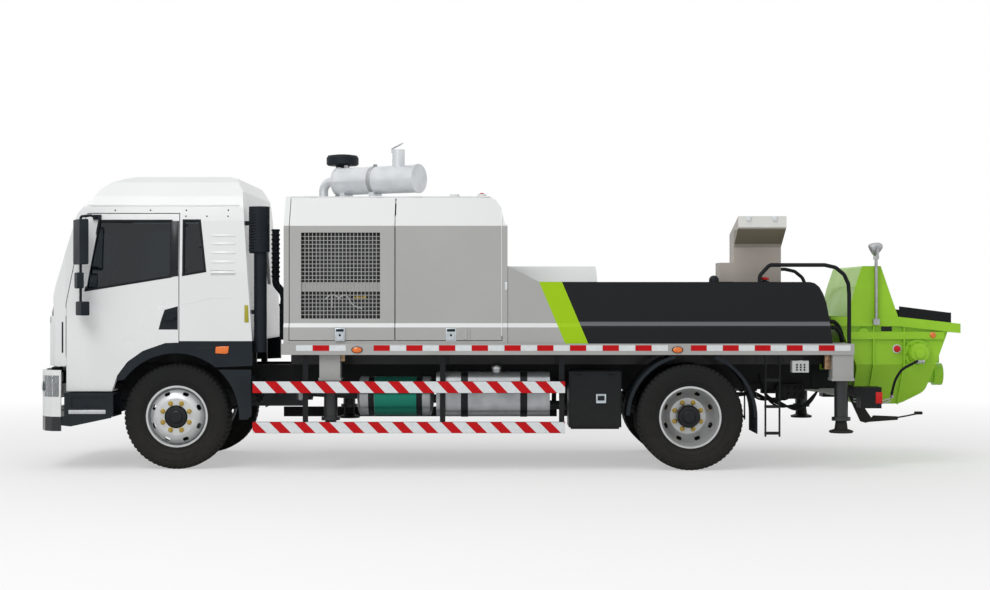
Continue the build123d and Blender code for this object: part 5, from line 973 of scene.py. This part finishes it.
def cabMore(sideName, side, label):
    for name, low, high, outline in mirrorHeads:
        shell = addUpright("mirrorShell" + name + label, outline, side, low - 5, high + 5, 9, 12)
        for vertex in shell.data.vertices:
            vertex.co.y = side * min(abs(vertex.co.y), mirrorReach / 1000)
        settle(shell, "mouldedBlack", "door_" + sideName)
        (x0, y0), (x1, y1) = outline[1], outline[2]
        along = Vector((x1 - x0, y1 - y0)).normalized()
        out = Vector((along.y, -along.x))
        corners = [Vector((x0, y0)) + along * 22 + out * reach for reach in (5, 9.5)]
        corners += [Vector((x1, y1)) - along * 22 + out * reach for reach in (9.5, 5)]
        glass = addUpright("mirrorGlass" + name + label, [tuple(corner) for corner in corners], side,
                           low + 16, high - 16,
                           0, 1)
        settle(glass, "mirrorSilver", "door_" + sideName)
    louvres = []
    x0, x1 = front["louvreX"]
    for z in front["louvreHeights"]:
        seat = cabSide(z)
        blade = addPlate("louvre",
                         [(x0, z), (x1, z), (x1, z - front["louvreHeight"]), (x0, z - front["louvreHeight"])],
                         side, seat - 6, 15, 4)
        for vertex in blade.data.vertices:
            if vertex.co.z > z / 1000 - 0.01:
                vertex.co.y -= side * 0.008  # each louvre slopes out towards its lower lip
        louvres.append(blade)
    settle(joinPieces("cabLouvres" + label, louvres), "cabEnamel", "cab")
    rings = []
    for number, y in enumerate((905, 1035)):
        x = frontAt("headlamps", side * y, 800)
        if x:
            rings.append(addLathe("ring", (x, side * y, 800), "x",
                                  [(48, 3), (50, -3), (46, -7), (39, -7), (37, 1)], 40))
            bulb = addLathe("lampDome" + str(number) + label, (x, side * y, 800), "x",
                            [(37, 2), (34, -4), (20, -8),
                                                                                      (3, -9)], 40)
            settle(bulb, "mirrorSilver", "chassis")
    if rings:
        settle(joinPieces("lampRings" + label, rings), "latchZinc", "chassis")
    low = frontAt("bumper", side * 820, 455)
    if low:
        fog = addLathe("fogLamp" + label, (low, side * 820, 455), "x",
                       [(52, 2), (52, -4), (44, -7), (40, -4), (2, -6)], 40)
        settle(fog, "latchZinc", "chassis")


def exhaustDress():
    x, y, z = muffler["centre"]
    along = Vector((math.cos(muffler["turn"]), -math.sin(muffler["turn"]), 0))
    radius = muffler["radius"]
    parts = []
    for shift in muffler["straps"]:
        place = (x + along.x * shift, y + along.y * shift, z)
        band = addLathe("band", place, "x", [(radius - 1, -22), (radius + 4, -22), (radius + 5.5, -16),
                                             (radius + 5.5, 16), (radius + 4, 22), (radius - 1, 22)], 64,
                                             closed=True)
        ear = addBlock("ear", (place[0] - 14, place[1] - 16, z + radius - 2), (place[0] + 14, place[1] + 16,
                                                                             z + radius + 24), 4)
        bolt = addLathe("bolt", (place[0], place[1] - 28, z + radius + 12), "y",
                        [(8, 0), (8, 8), (5, 9), (5, 48),
                                                                                (8, 49), (8, 56)], 6)
        strap = joinPieces("strap", [band, ear, bolt])
        editAll(strap)
        bpy.ops.transform.rotate(value=muffler["turn"], orient_axis="Z", center_override=spot(*place))
        bpy.ops.object.mode_set(mode="OBJECT")
        parts.append(strap)
    settle(joinPieces("mufflerStraps", parts), "plainSteel", "chassis")
    snout = [addLathe("canister", (975, -560, 1240), "z",
                      [(52, 0), (52, 10), (46, 14), (46, 330), (52, 336), (52, 352),
                                                          (40, 366), (40, 392)], 48),
             addPipe("pipe", [(975, -560, 1600), (975, -560, 1680), (940, -560, 1740), (890, -560, 1790),
                              (890, -560, 1880), (890, -560, 2330)], 36)]
    snout += [addLathe("cuff", (890, -560, z0), "z", [(39, 0), (43, 4), (43, 16), (39, 20)], 40)
              for z0 in [1860 + 46 * k for k in range(11)]]
    settle(joinPieces("breatherPipe", snout), "mouldedBlack", "chassis")


def lowerDress(sideName, side, label):
    seat = surfaceAt("hood_frame", 3190, 1770, side) or 1225
    latch = addBlock("hoodCatch" + label, (3172, side * (seat - 2), 1731), (3196, side * (seat + 7), 1808), 3)
    settle(latch, "tapeWhite", "chassis")
    cap = addLathe("tankCap" + label, (3090, side * 1010, 975), "z",
                   [(52, -10), (52, 12), (48, 18), (30, 20), (28, 26),
                                                                     (2, 27)], 48)
    settle(cap, "plainSteel", "chassis")
    plate = addBlock("lockerPlate" + label, (4046, side * 1212, 646), (4142, side * 1218, 734), 3)
    editAll(plate)
    pickFaces(plate, lambda centre, normal: normal.y * side > 0.9)
    bpy.ops.mesh.inset(thickness=0.010)
    bpy.ops.transform.translate(value=(0, -side * 0.003, 0))
    bpy.ops.object.mode_set(mode="OBJECT")
    settle(plate, "latchZinc", "chassis")
    paddle = addBlock("lockerPaddle" + label, (4062, side * 1214, 672), (4126, side * 1223, 716), 5, 3)
    settle(paddle, "mouldedBlack", "chassis")
    barrels = [addLathe("barrel", (x, side * 1212, 932), "x", [(9, 0), (11, 2), (11, 58), (9, 60)], 20)
               for x in (3850, 4160)]
    settle(joinPieces("lockerHinges" + label, barrels), "lockerBlack", "chassis")
    seat = surfaceAt("frame_rails", 1130, 760, side)
    if seat:
        bowl = addLathe("fuelFilter" + label, (1130, side * (seat + 46), 632), "z", [
            (12, 0), (34, 6), (40, 16), (40, 112), (44, 116), (44, 142), (20, 146)], 40)
        bracket = addBlock("bracket", (1100, side * (seat - 2), 752), (1160, side * (seat + 50), 778), 3)
        settle(joinPieces("fuelFilter" + label, [bowl, bracket]), "plainSteel", "chassis")
    hoses = [addPipe("hose", [(6306, side * (900 + d), 1418 - d), (6372, side * (890 + d), 1436 - d),
                              (6440, side * (820 + d), 1390 - d), (6478, side * (760 + d / 2), 1330 - d),
                              (6500, side * 706, 1292 - d)], 21) for d in (0, 56)]
    settle(joinPieces("deliveryHoses" + label, hoses), "flapRubber", "chassis")
    ribs = []
    for path in (((6560, 1270), (6610, 1120), (6700, 980), (6850, 880), (7020, 820)),
                 ((7060, 1360), (7130, 1300), (7240, 1270), (7360, 1290), (7430, 1350))):
        seats = [(x, surfaceAt("hopper", x, z, side), z) for x, z in path]
        if all(seat and seat < 735 for _, seat, _ in seats):
            ribs.append(addPipe("rib", [(x, side * seat, z) for x, seat, z in seats], 13))
    if ribs:
        settle(joinPieces("bowlRibs" + label, ribs), "pumpGreen", "chassis")
    lines = [addPipe("line",
                     [(6610, side * 735, 662 - d), (6760, side * 738, 640 - d), (6900, side * 738, 640 - d),
                              (6976, side * 738, 668 - d)], 8) for d in (0, 26)]
    settle(joinPieces("steelLines" + label, lines), "plainSteel", "chassis")
    loops = [addPipe("loop",
                     [(5700, side * 560, 905), (5740, side * 600, 690), (5880, side * (620 + d), 560 + d),
                              (6060, side * (620 + d), 600 - d), (6190, side * 600, 560 + d),
                              (6280, side * 560, 720)],
                     11) for d in (0, 38, 76)]
    settle(joinPieces("returnHoses" + label, loops), "flapRubber", "chassis")
    manifold = addBlock("valveBlock" + label, (5880, side * 470, 650), (6160, side * 560, 800), 8)
    caps = [addLathe("cap", (x, side * 559, z), "y",
                     [(20, 0), (20, 8 * side), (14, 12 * side), (14, 26 * side)], 6)
            for x in (5930, 6000, 6070, 6130) for z in (690, 760)]
    settle(joinPieces("valveBlock" + label, [manifold, *caps]), "chassisBlack", "chassis")


def towLever():
    arm = addPlate("arm", [(6590, 690), (6666, 690), (6822, 462), (6812, 427), (6762, 413), (6712, 427)],
                   -1, 548, 34, 5)
    pad = addPlate("pad", [(6786, 421), (7084, 443), (7084, 477), (6842, 487)], -1, 545, 40, 6)
    lever = addPipe("lever", [(7062, -566, 463), (7182, -566, 483), (7252, -566, 500), (7322, -566, 506)], 8)
    grip = addBlock("grip", (7250, -586, 496), (7330, -546, 526), 8, 3)
    settle(joinPieces("towLever", [arm, pad, lever, grip]), "chassisBlack", "chassis")


cabFront()
exhaustDress()
towLever()
bothSides(cabMore)
bothSides(lowerDress)
print("front, exhaust and lines done")


# Studio: pale floor, plain soft light, camera square to the truck's left side

studio = {"floorSize": 160.0, "floorGrey": "eeeeee", "keyPower": 430.0, "fillStrength": 0.56,
          "sunStrength": 0.45,
          "lensMillimetres": 64.4, "cameraX": -0.02, "cameraY": -18.2, "cameraZ": 1.636, "shiftX": -0.005,
          "shiftY": 0.005}


def buildStudio():
    bpy.ops.object.select_all(action="DESELECT")
    bpy.ops.mesh.primitive_plane_add(size=studio["floorSize"], location=(0, 0, -0.001))
    floor = bpy.context.object
    floor.name = "studioFloor"
    bpy.ops.object.transform_apply(location=True, rotation=True, scale=True)
    paper = bpy.data.materials.new("studioPaper")
    paper.use_nodes = True
    tree = paper.node_tree
    tree.nodes["Principled BSDF"].inputs["Base Color"].default_value = linearColour(studio["floorGrey"])
    tree.nodes["Principled BSDF"].inputs["Roughness"].default_value = 0.9
    glow = addNode(tree, "ShaderNodeEmission", {"Strength": 1.0})
    ray = addNode(tree, "ShaderNodeLightPath")
    place = addNode(tree, "ShaderNodeTexCoord").outputs["Object"]
    reach = addNode(tree, "ShaderNodeVectorMath", {}, {0: place}, operation="LENGTH")
    fade = addNode(tree, "ShaderNodeMapRange", {1: 4.5, 2: 13.0, 3: 0.45, 4: 1.0},
                   {0: reach.outputs["Value"]})
    seen = addNode(tree, "ShaderNodeMath", {}, {0: ray.outputs["Is Camera Ray"], 1: fade.outputs[0]},
                   operation="MULTIPLY")
    blend = addNode(tree, "ShaderNodeMixShader", {},
                    {0: seen.outputs[0], 1: tree.nodes["Principled BSDF"].outputs[0],
                                                      2: glow.outputs[0]})
    tree.links.new(blend.outputs[0], tree.nodes["Material Output"].inputs["Surface"])
    floor.data.materials.append(paper)

    world = bpy.data.worlds.new("softbox")
    bpy.context.scene.world = world
    world.use_nodes = True
    tree = world.node_tree
    ray = addNode(tree, "ShaderNodeLightPath")
    seen = addNode(tree, "ShaderNodeMath", {},
                   {0: ray.outputs["Is Camera Ray"], 1: ray.outputs["Is Glossy Ray"]},
                   operation="MAXIMUM")
    seen = addNode(tree, "ShaderNodeMath", {}, {0: seen.outputs[0], 1: ray.outputs["Is Transmission Ray"]},
                   operation="MAXIMUM")
    strength = addNode(tree, "ShaderNodeMapRange", {1: 0.0, 2: 1.0, 3: studio["fillStrength"], 4: 1.0},
                       {0: seen.outputs[0]})
    background = tree.nodes["Background"]
    background.inputs["Color"].default_value = (1, 1, 1, 1)
    tree.links.new(strength.outputs[0], background.inputs["Strength"])

    bpy.ops.object.light_add(type="AREA", location=(-5, -11, 9))
    key = bpy.context.object
    key.data.shape, key.data.size, key.data.energy = "DISK", 6.0, studio["keyPower"]
    key.rotation_euler = (Vector((0, 0, 1)) - key.location).to_track_quat("-Z", "Y").to_euler()
    bpy.ops.object.light_add(type="SUN", location=(4, 8, 12))
    sun = bpy.context.object
    sun.data.energy, sun.data.angle = studio["sunStrength"], math.radians(30)
    sun.rotation_euler = (Vector((0.6, 0, 0)) - Vector((-1.5, -3, 7))).to_track_quat("-Z", "Y").to_euler()

    bpy.ops.object.camera_add(location=(studio["cameraX"], studio["cameraY"], studio["cameraZ"]),
                              rotation=(math.radians(90), 0, 0))
    camera = bpy.context.object
    camera.data.lens, camera.data.sensor_width = studio["lensMillimetres"], 36
    camera.data.shift_x, camera.data.shift_y = studio["shiftX"], studio["shiftY"]
    bpy.context.scene.camera = camera
    bpy.context.scene.view_settings.view_transform = "Standard"
    print("studio built")


buildStudio()
